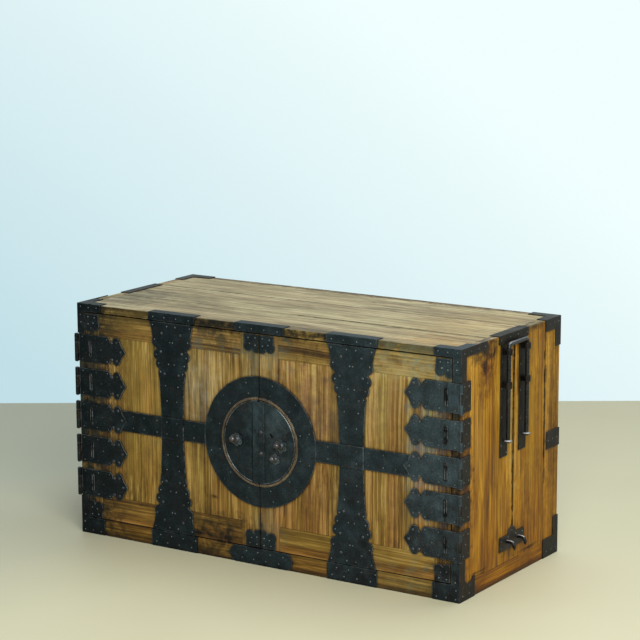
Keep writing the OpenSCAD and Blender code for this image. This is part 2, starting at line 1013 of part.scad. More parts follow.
module lock_case() {
    t = case_t;
    bridge_x = key_x - 6;
    color(iron)
        difference() {
            union() {
                difference() {
                    block([case_x0, y_door_back, case_z0], [case_x1, y_case + t, case_z1]);
                    block([case_x0 + t, y_door_back - 1, case_z0 + t],
                          [case_x1 - t, y_case, case_z1 - t]);
                }
                block([bridge_x, y_door_back, bolt_z0 - 6],
                      [bridge_x + t, y_case + t, bolt_z1 + 6]);
            }
            bolt_way(case_x0 - 1, bridge_x + t + 1, bolt_clear);
            rod_y(latch_x, y_case - 1, spindle_z, spindle_r + spindle_clear, t + 2);
        }
}

// The staple on the back of the left door that the bolt enters
module bolt_keeper() {
    c = 2 * bolt_clear;
    w = keeper_wall;
    x1 = -case_x0;
    x0 = x1 - keeper_l;
    color(iron)
        difference() {
            union() {
                block([x0, y_door_back, bolt_z0 - c - w],
                      [x1, y_bolt + bolt_t + c + w, bolt_z1 + c + w]);
                block([x0, y_door_back, bolt_z0 - c - w - 10],
                      [x1, y_door_back + w, bolt_z1 + c + w + 10]);
            }
            bolt_way(x0 - 1, x1 + 1, c);
        }
}

// Irons on the carcass

module front_corner_irons() {
    t = iron_t;
    x0 = corner_x - corner_iron_w;
    y0 = y_front - t;
    leg_x = inner_x + 0.5;
    top_leg_z = hinges_top + post_iron_gap;
    foot_leg_z = hinges_bottom - post_iron_gap;
    color(iron)
        pair() {
            block([x0, y0, under_top + 0.5], [corner_x, y_front, body_h + t]);
            block([leg_x, y0, top_leg_z], [corner_x, y_front, body_h + t]);
            block([half_w, y0, under_top], [corner_x, y_front + side_strip_l, body_h + t]);
            block([half_w, y0, top_leg_z], [corner_x, y_front + leg_w, body_h + t]);
            block([x0, y0, body_h], [corner_x, y_front + fold, body_h + t]);
            block([corner_x - fold, y0, body_h], [corner_x, y_front + side_foot_l, body_h + t]);
            block([x0, y0, 0], [corner_x, y_front, rail_h]);
            block([leg_x, y0, 0], [corner_x, y_front, foot_leg_z]);
            block([half_w, y0, 0], [corner_x, y_front + leg_w, foot_leg_z]);
            side_foot();
        }
}

// The foot of a front corner iron on the side, with an ear at its upper rear corner
module side_foot() {
    z = rail_h + side_foot_rise;
    scoop = side_foot_l - leg_w;
    block([half_w, y_front - iron_t, 0], [corner_x, y_front + side_foot_l, z - scoop * 0.3]);
    on_side(0, iron_t)
        difference() {
            rect([0, z - scoop * 0.3 - 1], [side_foot_l, z]);
            translate([leg_w + scoop * 0.4, z + scoop * 0.15])
                circle(scoop * 0.4);
        }
}

module rear_corner_irons() {
    t = iron_t;
    y0 = y_back - rear_iron_w;
    y1 = y_back + t;
    x0 = corner_x - rear_iron_w;
    color(iron)
        pair() {
            for (edge = [[body_h - rear_strip_h, body_h + t], [0, rear_foot_h]]) {
                block([half_w, y0, edge[0]], [corner_x, y1, edge[1]]);
                block([x0, y_back, edge[0]], [corner_x, y1, edge[1]]);
            }
            for (edge = [[body_h - rear_top_leg, body_h + t], [0, rear_foot_leg]]) {
                block([half_w, y_back - leg_w, edge[0]], [corner_x, y1, edge[1]]);
                block([corner_x - leg_w, y_back, edge[0]], [corner_x, y1, edge[1]]);
            }
            block([x0, y_back - fold, body_h], [corner_x, y1, body_h + t]);
            block([corner_x - fold, y0, body_h], [corner_x, y1, body_h + t]);
        }
}

module rear_mid_irons() {
    h = mid_iron_h / 2;
    z = mid_z - mid_iron_drop;
    color(iron)
        pair() {
            block([half_w, y_back - mid_iron_w, z - h], [corner_x, y_back + iron_t, z + h]);
            block([corner_x - mid_iron_w, y_back, z - h], [corner_x, y_back + iron_t, z + h]);
        }
}

module top_edge_irons() {
    over_band = band_end + band_margin;
    spans = [[-band_x, over_band], [0, centre_iron_w / 2], [band_x, over_band]];
    color(iron)
        for (s = spans) {
            block([s[0] - s[1], y_front - iron_t, under_top + 0.5],
                  [s[0] + s[1], y_front, body_h + iron_t]);
            block([s[0] - s[1], y_front - iron_t, body_h],
                  [s[0] + s[1], y_front + fold, body_h + iron_t]);
        }
}

module foot_rail_irons() {
    w = centre_iron_w / 2;
    lobe = rail_h / 2;
    over_band = band_end + band_margin;
    color(iron) {
        for (s = [-1, 1])
            block([s * band_x - over_band, y_front - iron_t, 0],
                  [s * band_x + over_band, y_front, rail_h]);
        on_front(y_front, iron_t) {
            rect([-w, 0], [w, rail_h]);
            for (s = [-1, 1])
                translate([s * w, lobe])
                    circle(lobe);
        }
    }
}

// Carrying handles

module handle_plate(left) {
    w = plate_head_w / 2;
    s = strap_w / 2;
    z0 = leg_bottom - strap_below;
    hand(left)
        color(iron) {
            on_side(0, iron_t)
                translate([handle_at, 0]) {
                    rect([-w, under_top], [w, body_h + iron_t]);
                    for (m = [-1, 1])
                        translate([m * bail_w / 2, 0])
                            rect([-s, z0], [s, under_top + 1]);
                }
            block([corner_x - fold, y_front + handle_at - w, body_h],
                  [corner_x, y_front + handle_at + w, body_h + iron_t]);
        }
}

// One guide at height z: a collar on a foot that is riveted to the strap
module guide(z) {
    translate([half_w, 0, z - guide_h / 2])
        difference() {
            union() {
                translate([bail_out, 0, 0])
                    cylinder(r = guide_r, h = guide_h);
                translate([iron_t, -guide_r * 0.6, 0])
                    cube([bail_out - iron_t, guide_r * 1.2, guide_h]);
            }
            translate([bail_out, 0, -1])
                cylinder(r = rod_r + guide_clear, h = guide_h + 2);
        }
}

module handle_guides(left) {
    hand(left)
        color(iron)
            for (m = [-1, 1], z = [lower_guide_z, upper_guide_z])
                translate([0, y_front + handle_at + m * bail_w / 2, 0])
                    guide(z);
}

module bail(left) {
    half = bail_w / 2;
    straight = half - bend_r;
    hand(left)
        color(worn_iron)
            translate([half_w + bail_out, y_front + handle_at, 0]) {
                for (m = [0, 1])
                    mirror([0, m, 0]) {
                        translate([0, half, leg_bottom])
                            cylinder(r = rod_r, h = bail_leg - bend_r);
                        translate([0, half, leg_bottom])
                            foot();
                        translate([0, straight, bail_top - bend_r])
                            rotate([0, -90, 0])
                                rotate_extrude(angle = 90)
                                    translate([bend_r, 0])
                                        circle(rod_r);
                    }
                translate([0, -straight, bail_top])
                    rotate([-90, 0, 0])
                        cylinder(r = rod_r, h = 2 * straight);
            }
}

// The flared end of a leg: a cup under a nearly flat collar
module foot() {
    cup_h = 0.5 * foot_h;
    collar_h = 0.7 * foot_h;
    rotate_extrude()
        polygon([[0, 0], [0.7 * rod_r, 0], [foot_r, cup_h], [foot_r, collar_h],
                 [0.9 * rod_r, foot_h], [0, foot_h]]);
}

// Stacking hooks

module hook_plate(left) {
    w = hook_plate_w / 2;
    h = hook_plate_h / 2;
    tab = 18;
    rise = 20;
    hand(left)
        color(iron)
            on_side(0, iron_t)
                translate([handle_at, hook_plate_z]) {
                    rect([-w, -h], [w, h]);
                    polygon([[-tab, h - 1], [tab, h - 1], [tab * 0.5, h + rise * 0.5],
                             [0, h + rise], [-tab * 0.5, h + rise * 0.5]]);
                    for (m = [-1, 1])
                        translate([m * tab * 0.55, h + rise * 0.2])
                            circle(tab * 0.45);
                }
}

// A claw that reaches out from the plate and turns down, so that it holds a raised crossbar
module hook() {
    reach = bail_out + rod_r + hook_r + 1;
    bend = rod_r + hook_r + 2;
    tip = hook_r * 0.6;
    tip_l = 4;
    translate([half_w, 0, hook_top - hook_r]) {
        translate([iron_t, 0, 0])
            rotate([0, 90, 0])
                cylinder(r = hook_r, h = reach - bend - iron_t);
        translate([reach - bend, 0, -bend])
            rotate([90, 0, 0])
                rotate_extrude(angle = 90)
                    translate([bend, 0])
                        circle(hook_r);
        translate([reach, 0, -bend - tip_l])
            cylinder(r1 = tip, r2 = hook_r, h = tip_l);
        translate([reach, 0, -bend - tip_l])
            sphere(tip);
    }
}

module hooks(left) {
    hand(left)
        color(worn_iron)
            for (m = [-1, 1])
                translate([0, y_front + handle_at + m * hook_w / 2, 0])
                    hook();
}

// What is drawn

top_boards();
bottom_boards();
base_bearer();
front_rail();
back_boards();
side_boards(true);  // left_side_boards
side_boards(false);  // right_side_boards
front_posts();
rear_posts();
side_rails();
shelf();
shelf_cleats();
door_stops();
hinge_stile(true);  // left_hinge_stile
meeting_stile(true);  // left_meeting_stile
door_rails(true);  // left_door_rails
door_panel(true);  // left_door_panel
hinge_stile(false);  // right_hinge_stile
meeting_stile(false);  // right_meeting_stile
door_rails(false);  // right_door_rails
door_panel(false);  // right_door_panel
hinge_leaves(true);  // left_hinge_leaves
tapered_band(true);  // left_tapered_band
cross_band(true);  // left_cross_band
ring_plate(true);  // left_ring_plate
lock_plate(true);  // left_lock_plate
cover_strip(true);  // left_cover_strip
door_corner_irons(true);  // left_door_corner_irons
pull(true);  // left_pull
hinge_leaves(false);  // right_hinge_leaves
tapered_band(false);  // right_tapered_band
cross_band(false);  // right_cross_band
ring_plate(false);  // right_ring_plate
lock_plate(false);  // right_lock_plate
cover_strip(false);  // right_cover_strip
door_corner_irons(false);  // right_door_corner_irons
pull(false);  // right_pull
hinge_side_leaves(true);  // left_hinge_side_leaves
hinge_side_leaves(false);  // right_hinge_side_leaves
hinge_pins();
front_corner_irons();
rear_corner_irons();
rear_mid_irons();
top_edge_irons();
foot_rail_irons();
handle_plate(true);  // left_handle_plate
handle_plate(false);  // right_handle_plate
handle_guides(true);  // left_handle_guides
handle_guides(false);  // right_handle_guides
hook_plate(true);  // left_hook_plate
hook_plate(false);  // right_hook_plate
hooks(true);  // left_hooks
hooks(false);  // right_hooks
bail(true);  // left_bail
bail(false);  // right_bail
lock_case();
lock_bolt();
bolt_keeper();
latch_knob();
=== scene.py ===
"""The looks of the merchant chest: worn striped wood, blackened iron, nails, light and camera."""

import json
import math
import random

import bmesh
import bpy
from mathutils import Matrix, Vector, noise

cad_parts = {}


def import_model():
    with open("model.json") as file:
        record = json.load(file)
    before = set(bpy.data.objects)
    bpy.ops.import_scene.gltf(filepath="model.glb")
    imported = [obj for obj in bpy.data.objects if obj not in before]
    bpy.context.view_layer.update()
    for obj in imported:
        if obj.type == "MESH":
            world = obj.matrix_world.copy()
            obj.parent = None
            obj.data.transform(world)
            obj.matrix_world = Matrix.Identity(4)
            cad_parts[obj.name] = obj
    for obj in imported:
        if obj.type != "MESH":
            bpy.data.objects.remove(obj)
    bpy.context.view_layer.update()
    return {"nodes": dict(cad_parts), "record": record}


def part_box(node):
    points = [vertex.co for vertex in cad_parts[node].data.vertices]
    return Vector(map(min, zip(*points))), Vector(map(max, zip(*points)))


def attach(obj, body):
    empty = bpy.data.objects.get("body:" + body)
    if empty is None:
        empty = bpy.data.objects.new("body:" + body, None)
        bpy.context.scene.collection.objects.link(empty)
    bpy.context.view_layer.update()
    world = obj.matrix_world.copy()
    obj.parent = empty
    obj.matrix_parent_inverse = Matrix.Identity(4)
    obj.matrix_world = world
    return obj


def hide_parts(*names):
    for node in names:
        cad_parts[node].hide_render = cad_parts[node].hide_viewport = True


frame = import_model()

MM = 0.001
HANDS = {"left": -1, "right": 1}
SMOOTH_ANGLE = math.radians(34)

# Sizes that the frame doesn't name
HINGE_COUNT = 5
LEAF_HEIGHT = 66 * MM
LOOP_INSET = 37 * MM
BARREL_WIDTH = 11 * MM
LIP_WIDTH = 2.6 * MM
DOOR_GAP = 3 * MM


# Places that the frame gives

def middle(node):
    low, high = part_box(node)
    return (low + high) / 2


def half_height(node):
    low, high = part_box(node)
    return (high.z - low.z) / 2


band_x = middle("right_tapered_band").x
mid_z = middle("right_tapered_band").z
door_half = half_height("right_tapered_band")
door_iron_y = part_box("right_tapered_band")[0].y
frame_iron_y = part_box("foot_rail_irons")[0].y
rear_iron_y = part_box("rear_corner_irons")[1].y
corner_lo, corner_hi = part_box("right_door_corner_irons")
foot_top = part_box("front_rail")[1].z
body_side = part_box("right_side_boards")[1].x
body_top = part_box("top_boards")[1].z
iron_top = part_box("top_edge_irons")[1].z
iron_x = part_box("right_handle_plate")[1].x
loop_x = iron_x - LOOP_INSET
handle_y = middle("right_handle_plate").y
bail_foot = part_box("right_bail")[0].z
hook_y = middle("right_hook_plate").y
hook_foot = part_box("right_hook_plate")[0].z
rear_mid_z = middle("rear_mid_irons").z
ring_r = half_height("right_ring_plate")
disc_r = half_height("right_lock_plate")
disc_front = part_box("right_lock_plate")[0].y
strip_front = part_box("left_cover_strip")[0].y
leaf_lo, leaf_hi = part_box("right_hinge_leaves")
hinge_step = (leaf_hi.z - leaf_lo.z - LEAF_HEIGHT) / (HINGE_COUNT - 1)
hinge_z = [leaf_lo.z + LEAF_HEIGHT / 2 + i * hinge_step for i in range(HINGE_COUNT)]

body_of = {n: b for b, nodes in frame["record"]["behaviour"]["bodies"].items() for n in nodes}
slot_of = {part["node"]: part["material_slot"] for part in frame["record"]["subparts"]}


# Node graphs

# The noise that makes the rim of a patch uneven, how far it bites, and how soft the rim is
RIM = (46.0, 4.0, 0.66)
RIM_BITE = 2.4
RIM_SOFT = 0.9

# How alike the rounded and the plain normal are where an edge's wear starts and where it is full
WEAR_START, WEAR_FULL = 0.985, 0.86


def rgb(*levels):
    """A screen colour of three levels up to 255, as the linear colour that a shader takes."""
    shares = [level / 255 for level in levels]
    return (*[s / 12.92 if s <= 0.04045 else ((s + 0.055) / 1.055) ** 2.4 for s in shares], 1)


def give(tree, socket, value):
    """Links an input to another node's output, or sets it to a plain value."""
    if isinstance(value, bpy.types.NodeSocket):
        tree.links.new(value, socket)
    else:
        socket.default_value = value


def add_node(tree, kind, sockets=None, **props):
    """A shader node with its properties set. sockets says what its inputs are given."""
    made = tree.nodes.new("ShaderNode" + kind)
    for key, value in props.items():
        setattr(made, key, value)
    for key, value in (sockets or {}).items():
        give(tree, made.inputs[key], value)
    return made


class Graph:
    """A material's node tree, with a short call for each node that the finishes need."""

    def __init__(self, name):
        self.material = bpy.data.materials.new(name)
        self.material.use_nodes = True
        self.tree = self.material.node_tree
        self.tree.nodes.clear()
        self.shader = self.node("BsdfPrincipled")
        self.node("OutputMaterial", {0: self.shader.outputs[0]})
        self.place = self.node("TexCoord").outputs["Object"]
        self.rim = None

    def node(self, kind, sockets=None, **props):
        return add_node(self.tree, kind, sockets, **props)

    def set(self, key, value):
        """Gives the shader's own socket a value or a link."""
        give(self.tree, self.shader.inputs[key], value)

    def axis(self, number):
        """The place along x, y or z: 0, 1 or 2."""
        return self.node("SeparateXYZ", {0: self.place}).outputs[number]

    def noise(self, place, scale, detail=2.0, roughness=0.5):
        sockets = {"Vector": place, "Scale": scale, "Detail": detail, "Roughness": roughness}
        return self.node("TexNoise", sockets).outputs["Fac"]

    def vector(self, operation, a, b):
        return self.node("VectorMath", {0: a, 1: b}, operation=operation).outputs[0]

    def calc(self, operation, a, b=0.0):
        return self.node("Math", {0: a, 1: b}, operation=operation).outputs[0]

    def remap(self, value, low, high, to_low=0.0, to_high=1.0):
        """The value moved from one range to another, and held inside it."""
        sockets = {0: value, 1: low, 2: high, 3: to_low, 4: to_high}
        return self.node("MapRange", sockets).outputs[0]

    def blend(self, *parts):
        """The sum of (weight, value) pairs."""
        total = None
        for weight, value in parts:
            term = self.calc("MULTIPLY", value, weight)
            total = term if total is None else self.calc("ADD", total, term)
        return total

    def mix(self, share, a, b, blend_type="MIX"):
        made = self.node("Mix", {0: share, 6: a, 7: b}, data_type="RGBA", blend_type=blend_type)
        return made.outputs[2]

    def ramp(self, value, places, colours):
        """The colour between those that sit at the places from 0 to 1."""
        made = self.node("ValToRGB", {0: value})
        elements = made.color_ramp.elements
        while len(elements) < len(places):
            elements.new(0.5)
        for element, at, colour in zip(elements, places, colours):
            element.position = at
            element.color = colour
        return made.outputs[0]

    def openness(self, distance, samples):
        """1 in the open, and less in corners and gaps narrower than the distance."""
        made = self.node("AmbientOcclusion", {"Distance": distance}, samples=samples)
        return made.outputs["AO"]

    def patch(self, centre, reach):
        """1 inside an uneven patch round a place, and 0 outside it. Sizes are in millimetres."""
        if self.rim is None:
            rough = self.noise(self.place, *RIM)
            self.rim = self.calc("MULTIPLY", self.calc("SUBTRACT", rough, 0.5), RIM_BITE)
        middle = tuple(c * MM for c in centre)
        shape = tuple(1 / (r * MM) for r in reach)
        offset = self.vector("MULTIPLY", self.vector("SUBTRACT", self.place, middle), shape)
        far = self.node("VectorMath", {0: offset}, operation="LENGTH").outputs["Value"]
        return self.remap(self.calc("ADD", far, self.rim), 1.0, 1.0 - RIM_SOFT)

    def tint_patches(self, colour, patches, blend_type="MULTIPLY"):
        """The colour darkened, tinted or lit by (centre, reach, share, tint) patches."""
        for centre, reach, share, tint in patches:
            amount = self.calc("MULTIPLY", self.patch(centre, reach), share)
            colour = self.mix(amount, colour, tint, blend_type)
        return colour

    def worn_edges(self, radius):
        """1 on the edges that hands and tools have rubbed, 0 on the flat."""
        soft = self.node("Bevel", {"Radius": radius}, samples=6).outputs[0]
        plain = self.node("NewGeometry").outputs["Normal"]
        turned = self.node("VectorMath", {0: soft, 1: plain}, operation="DOT_PRODUCT")
        return self.remap(turned.outputs["Value"], WEAR_START, WEAR_FULL)

    def bump(self, height, distance, strength):
        sockets = {"Height": height, "Distance": distance, "Strength": strength}
        self.set("Normal", self.node("Bump", sockets).outputs[0])


# Wood finishes

# Layers of noise in the wood: waves per metre, detail and roughness
CLOUDS = (14.0, 4.0, 0.66)
HUES = (17.0, 3.0, 0.6)
BANDS = (24.0, 2.0)
STREAKS = (82.0, 2.0, 0.6)
STRIPES = (205.0, 2.0, 0.6)
VEINS = (250.0, 2.0, 0.6)
FIBRES = (520.0, 2.0, 0.7)

# Shares of bands, streaks, stripes, fibres, clouds and board in the wood's tone, the middle of
# the tone and how far from there the darkest and palest colours lie
TONE_SHARES = (0.13, 0.16, 0.32, 0.22, 0.17, 0.05)
TONE_MIDDLE = 0.525
TONE_REACH = 0.086

# How fast the stripes change along the grain, as a share of how fast they change across it
ALONG_GRAIN = 0.017
ALONG_CLOUDS = 0.25

# How far the noise is shifted for each board, how wide the stripes sway, and in what waves
BOARD_SHIFT = (3.1, 5.7, 4.3)
HUE_SHIFT = (7.3, 2.9, 5.1)
SWAY = 0.014
SWAY_SCALE = 3.6

VEIN = rgb(148, 118, 92)
SMOKE = rgb(186, 184, 192)
RUDDY = rgb(252, 232, 230)
YELLOW = rgb(252, 255, 244)

# Tints of the dirt and painted shade beside the irons, and of the painted shade deep in joints and
# gaps
HALO_DIRT_AND_SHADE = rgb(118, 108, 98)
JOINT_SHADE = rgb(36, 30, 26)


def squeezed(grain, share):
    """A scale for each axis: the share along the grain, and 1 across it."""
    return tuple(share if axis == grain else 1.0 for axis in "xyz")


def wood(name, grain, palette, contrast=1.0, low=None, roughness=(0.5, 0.7), along=ALONG_GRAIN,
         smoky=0.5, veined=0.55, varied=1.0, stains_and_shade=(), lights=()):
    """Striped wood whose grain runs along one axis. palette is four colours from dark to pale.

    low is the tint of its foot. smoky is how grey its cloudy patches are, veined how dark its
    thin lines, and varied how far its stripes differ in hue. stains_and_shade are patches of stain
    and painted shade that darken it, and lights are patches that lighten it.
    """
    g = Graph(name)

    # Where the grain lies: shifted for each board, drawn out along it and swaying a little
    board = g.node("Attribute", attribute_name="board").outputs["Fac"]
    shift = g.node("CombineXYZ", {0: board, 1: board, 2: board}).outputs[0]
    spot = g.vector("ADD", g.place, g.vector("MULTIPLY", BOARD_SHIFT, shift))
    sway = g.node("TexNoise", {"Vector": spot, "Scale": SWAY_SCALE, "Detail": 2.0})
    sway = g.vector("SUBTRACT", sway.outputs["Color"], (0.5, 0.5, 0.5))
    sway = g.vector("MULTIPLY", sway, (SWAY, SWAY, SWAY))
    lines = g.vector("ADD", g.vector("MULTIPLY", spot, squeezed(grain, along)), sway)

    # Its tone and colour
    bands = g.noise(lines, *BANDS)
    streaks = g.noise(lines, *STREAKS)
    stripes = g.noise(lines, *STRIPES)
    fibres = g.noise(lines, *FIBRES)
    clouds = g.noise(g.vector("MULTIPLY", spot, squeezed(grain, ALONG_CLOUDS)), *CLOUDS)
    tone = g.blend(*zip(TONE_SHARES, (bands, streaks, stripes, fibres, clouds, board)))
    reach = TONE_REACH / contrast
    tone = g.remap(tone, TONE_MIDDLE - reach, TONE_MIDDLE + reach)
    colour = g.ramp(tone, (0.0, 0.33, 0.66, 1.0), palette)
    hue = g.remap(g.noise(g.vector("ADD", lines, HUE_SHIFT), *HUES), 0.4, 0.6)
    colour = g.mix(varied, colour, g.mix(hue, RUDDY, YELLOW), "MULTIPLY")
    smoke = g.calc("MULTIPLY", g.remap(clouds, 0.5, 0.34), smoky)
    colour = g.mix(smoke, colour, SMOKE, "MULTIPLY")
    veins = g.remap(g.noise(lines, *VEINS), 0.57, 0.66)
    colour = g.mix(g.calc("MULTIPLY", veins, veined), colour, VEIN, "MULTIPLY")

    # Its age: a darker foot, stains, pale spots; dirt and painted shade by the irons; painted shade
    # in joints
    if low:
        height = g.remap(g.axis(2), 0.0, body_top)
        colour = g.mix(g.remap(height, 0.8, 0.05), colour, low, "MULTIPLY")
    colour = g.tint_patches(colour, stains_and_shade)
    colour = g.tint_patches(colour, lights, "SCREEN")
    nearby = g.openness(16 * MM, samples=8)
    # Dirt with painted shade where the wood lies close beside the irons
    dirt_and_shade = g.calc("MULTIPLY", g.remap(nearby, 0.995, 0.8), 0.66)
    colour = g.mix(dirt_and_shade, colour, HALO_DIRT_AND_SHADE, "MULTIPLY")
    # Painted shade deep in the joints, cracks and gaps
    colour = g.mix(g.remap(nearby, 0.72, 0.3), colour, JOINT_SHADE, "MULTIPLY")

    g.set("Base Color", colour)
    g.set("Roughness", g.remap(stripes, 0.3, 0.7, *roughness))
    g.set("Specular IOR Level", 0.22)
    g.bump(g.blend((0.6, stripes), (0.5, fibres), (-0.5, veins)), 0.9 * MM, 0.6)
    return g.material


# Patches of stain, painted shade and light on the wood and the irons, in millimetres

# A reach of THROUGH passes through the whole chest, and the others through the boards alone
THROUGH = 900
SIDE_REACH = 300
TOP_REACH = 40

BROWN = (140, 108, 78)
LILAC = (170, 156, 168)
DARK = (100, 72, 52)
KNOT = (150, 110, 84)
GLOW = (86, 80, 54)


def front_patches(*patches):
    """Patches seen from the front, each given as x, z, its reach in both, its share and tint."""
    return [((x, 0, z), (wide, THROUGH, high), share, rgb(*tint))
            for x, z, wide, high, share, tint in patches]


def side_patches(*patches):
    """Patches of the right side, each given as y, z, its reach in both, its share and tint."""
    return [((body_side / MM, y, z), (SIDE_REACH, deep, high), share, rgb(*tint))
            for y, z, deep, high, share, tint in patches]


def top_patches(*patches):
    """Patches of the top, each given as x, y, its reach in both, its share and tint."""
    return [((x, y, body_top / MM), (wide, deep, TOP_REACH), share, rgb(*tint))
            for x, y, wide, deep, share, tint in patches]


FRONT_STAINS_AND_SHADE = front_patches(
    # Painted shade at the chest's ends, and painted shade with dirt in the gaps between the leaves
    (-502, 293, 116, 1500, 1.0, (64, 94, 150)),
    (-502, 400, 90, 150, 1.0, (120, 140, 200)),
    (-447, 293, 34, 290, 0.9, (150, 140, 146)),
    (-396, 293, 44, 290, 0.8, (160, 152, 144)),
    (408, 293, 30, 290, 0.8, (214, 236, 255)),
    (440, 400, 50, 160, 0.8, (190, 230, 255)),
    (510, 293, 70, 1500, 1.0, (120, 126, 142)),
    (514, 293, 13, 280, 1.0, (84, 88, 120)),
    # The panels and stiles
    (-340, 190, 110, 130, 0.9, (255, 240, 222)),
    (-340, 390, 110, 110, 1.0, (248, 228, 206)),
    (16, 120, 60, 110, 0.7, (214, 226, 236)),
    # Painted shade in the gap between the doors, low down
    (1, 60, 5, 120, 1.0, (40, 34, 30)),
    (140, 380, 80, 150, 0.65, LILAC),
    (170, 180, 70, 90, 0.9, (222, 222, 230)),
    (250, 293, 280, 270, 0.6, (236, 228, 232)),
    (330, 120, 40, 60, 0.4, LILAC),
    (340, 400, 74, 120, 1.0, (214, 208, 206)),
    (372, 190, 60, 90, 0.8, (234, 240, 255)),
    # The upper rails
    (-440, 530, 120, 40, 0.8, (220, 234, 252)),
    (-120, 524, 170, 50, 1.0, (128, 134, 152)),
    (110, 524, 170, 50, 0.9, (170, 170, 180)),
    (-60, 470, 60, 26, 0.4, LILAC),
    # The lower rails, with two dark streaks, and the front rail below them
    (-130, 58, 150, 64, 1.0, (92, 98, 108)),
    (-150, 52, 130, 5, 1.0, (76, 66, 56)),
    (-110, 40, 110, 4, 1.0, (86, 76, 64)),
    (-150, 14, 160, 34, 1.0, (180, 180, 186)),
    (-340, 16, 140, 34, 0.8, (255, 250, 190)),
    (-300, 16, 260, 30, 0.5, BROWN),
    # Two knots
    (-129, 145, 15, 6, 1.0, DARK),
    (405, 512, 8, 6, 1.0, DARK),
    # The top's front edge
    (-260, 556, 420, 26, 1.0, (150, 150, 170)),
    (400, 556, 180, 26, 1.0, (140, 142, 160)),
    (-230, 562, 560, 30, 1.0, (76, 78, 92)),
    (290, 562, 440, 30, 1.0, (84, 88, 106)),
)
FRONT_LIGHTS = front_patches(
    # The panels and stiles
    (-340, 360, 120, 330, 0.8, (96, 76, 30)),
    (-190, 190, 50, 110, 0.8, (96, 80, 40)),
    (-180, 400, 80, 130, 0.8, (40, 62, 76)),
    (-140, 420, 90, 110, 0.8, GLOW),
    (10, 490, 90, 90, 0.8, (84, 88, 74)),
    (20, 90, 60, 90, 0.6, (44, 58, 60)),
    (170, 380, 90, 120, 0.6, (0, 24, 44)),
    (320, 430, 60, 110, 0.5, GLOW),
    (405, 293, 34, 300, 0.4, (40, 60, 66)),
    (440, 320, 60, 220, 0.8, (20, 50, 84)),
    # The rails at the right
    (400, 520, 190, 60, 1.0, (108, 106, 76)),
    (300, 50, 100, 60, 0.3, (0, 40, 40)),
    (400, 30, 170, 50, 0.6, (60, 66, 46)),
    (400, 16, 150, 34, 0.7, (44, 44, 8)),
)
SIDE_STAINS = side_patches(
    # The knot near the top and the smoke round it
    (-116, 500, 50, 90, 1.0, (170, 150, 136)),
    (-124, 545, 90, 36, 1.0, (112, 114, 146)),
    (-96, 520, 13, 44, 1.0, KNOT),
    (-126, 506, 20, 24, 1.0, KNOT),
    (-128, 508, 9, 11, 1.0, DARK),
    # The front edge, with a small knot and a split beside it
    (-214, 280, 42, 230, 1.0, (112, 84, 92)),
    (-176, 293, 30, 260, 0.45, (200, 176, 150)),
    (-171, 288, 4, 4, 0.9, DARK),
    (-120, 150, 1.6, 150, 0.6, DARK),
    # The joint between the handle's legs
    (12, 350, 14, 220, 0.5, (160, 146, 120)),
    (8, 330, 7, 240, 0.8, (60, 46, 34)),
    (8, 78, 64, 40, 0.8, (140, 136, 124)),
    # The joint at the rear post, and the post
    (160, 370, 6, 240, 1.0, (70, 56, 42)),
    (160, 350, 7, 220, 0.5, BROWN),
    (202, 330, 50, 420, 1.0, (190, 188, 206)),
    # Scratches and marks of damp on the rails
    (-120, 70, 90, 60, 0.6, (226, 216, 180)),
    (-143, 50, 42, 4, 1.0, (56, 40, 28)),
    (-147, 43, 36, 3, 1.0, (56, 40, 28)),
    (80, 47, 60, 6, 1.0, (74, 56, 40)),
    (80, 20, 60, 20, 0.4, BROWN),
    (106, 560, 56, 12, 1.0, (84, 76, 70)),
)
SIDE_LIGHTS = side_patches(
    # Worn boards
    (-150, 350, 24, 90, 0.4, GLOW),
    (-10, 400, 30, 170, 0.6, (78, 78, 44)),
    (20, 300, 40, 190, 0.8, (90, 70, 26)),
    (90, 360, 70, 260, 0.9, (92, 76, 16)),
    # The torn edges of the joint
    (-2, 330, 5, 230, 0.9, (116, 100, 60)),
    (20, 330, 7, 230, 0.9, (110, 98, 60)),
)
TOP_STAINS = top_patches(
    # The torn joint
    (170, -81.5, 330, 2.4, 1.0, (64, 48, 34)),
    (200, -81, 250, 8, 0.45, BROWN),
    # Knots
    (70, 150, 12, 5, 0.9, DARK),
    (215, 158, 9, 4, 0.9, DARK),
    (120, -30, 60, 22, 0.4, BROWN),
    # The ends and edges
    (-514, 110, 16, 62, 0.9, DARK),
    (514, 110, 16, 62, 0.9, DARK),
    (514, -120, 14, 66, 0.8, (140, 146, 158)),
    (0, -228, 600, 9, 0.6, BROWN),
    (60, 224, 640, 28, 1.0, (130, 118, 98)),
    # Broad tints
    (-450, -110, 120, 150, 0.7, (178, 186, 198)),
    (-380, 0, 160, 240, 0.35, (190, 186, 186)),
    (400, 0, 190, 260, 0.6, (240, 222, 190)),
    (440, -170, 120, 80, 0.7, (255, 230, 196)),
)


# The woods

FRONT = (rgb(76, 59, 30), rgb(114, 92, 43), rgb(144, 120, 61), rgb(180, 158, 100))
SIDE = (rgb(104, 64, 8), rgb(144, 100, 16), rgb(170, 124, 28), rgb(200, 156, 60))
TOP = (rgb(101, 87, 62), rgb(143, 131, 100), rgb(175, 163, 128), rgb(206, 195, 158))
INNER = (rgb(84, 64, 40), rgb(120, 96, 60), rgb(146, 120, 80), rgb(166, 140, 98))

front_look = {"low": rgb(238, 222, 190), "stains_and_shade": FRONT_STAINS_AND_SHADE, "lights": FRONT_LIGHTS}
side_look = {"low": rgb(222, 206, 140), "stains_and_shade": SIDE_STAINS, "lights": SIDE_LIGHTS}
top_look = {"roughness": (0.58, 0.76), "along": 0.03}
inner_look = {"contrast": 0.8, "roughness": (0.65, 0.8)}

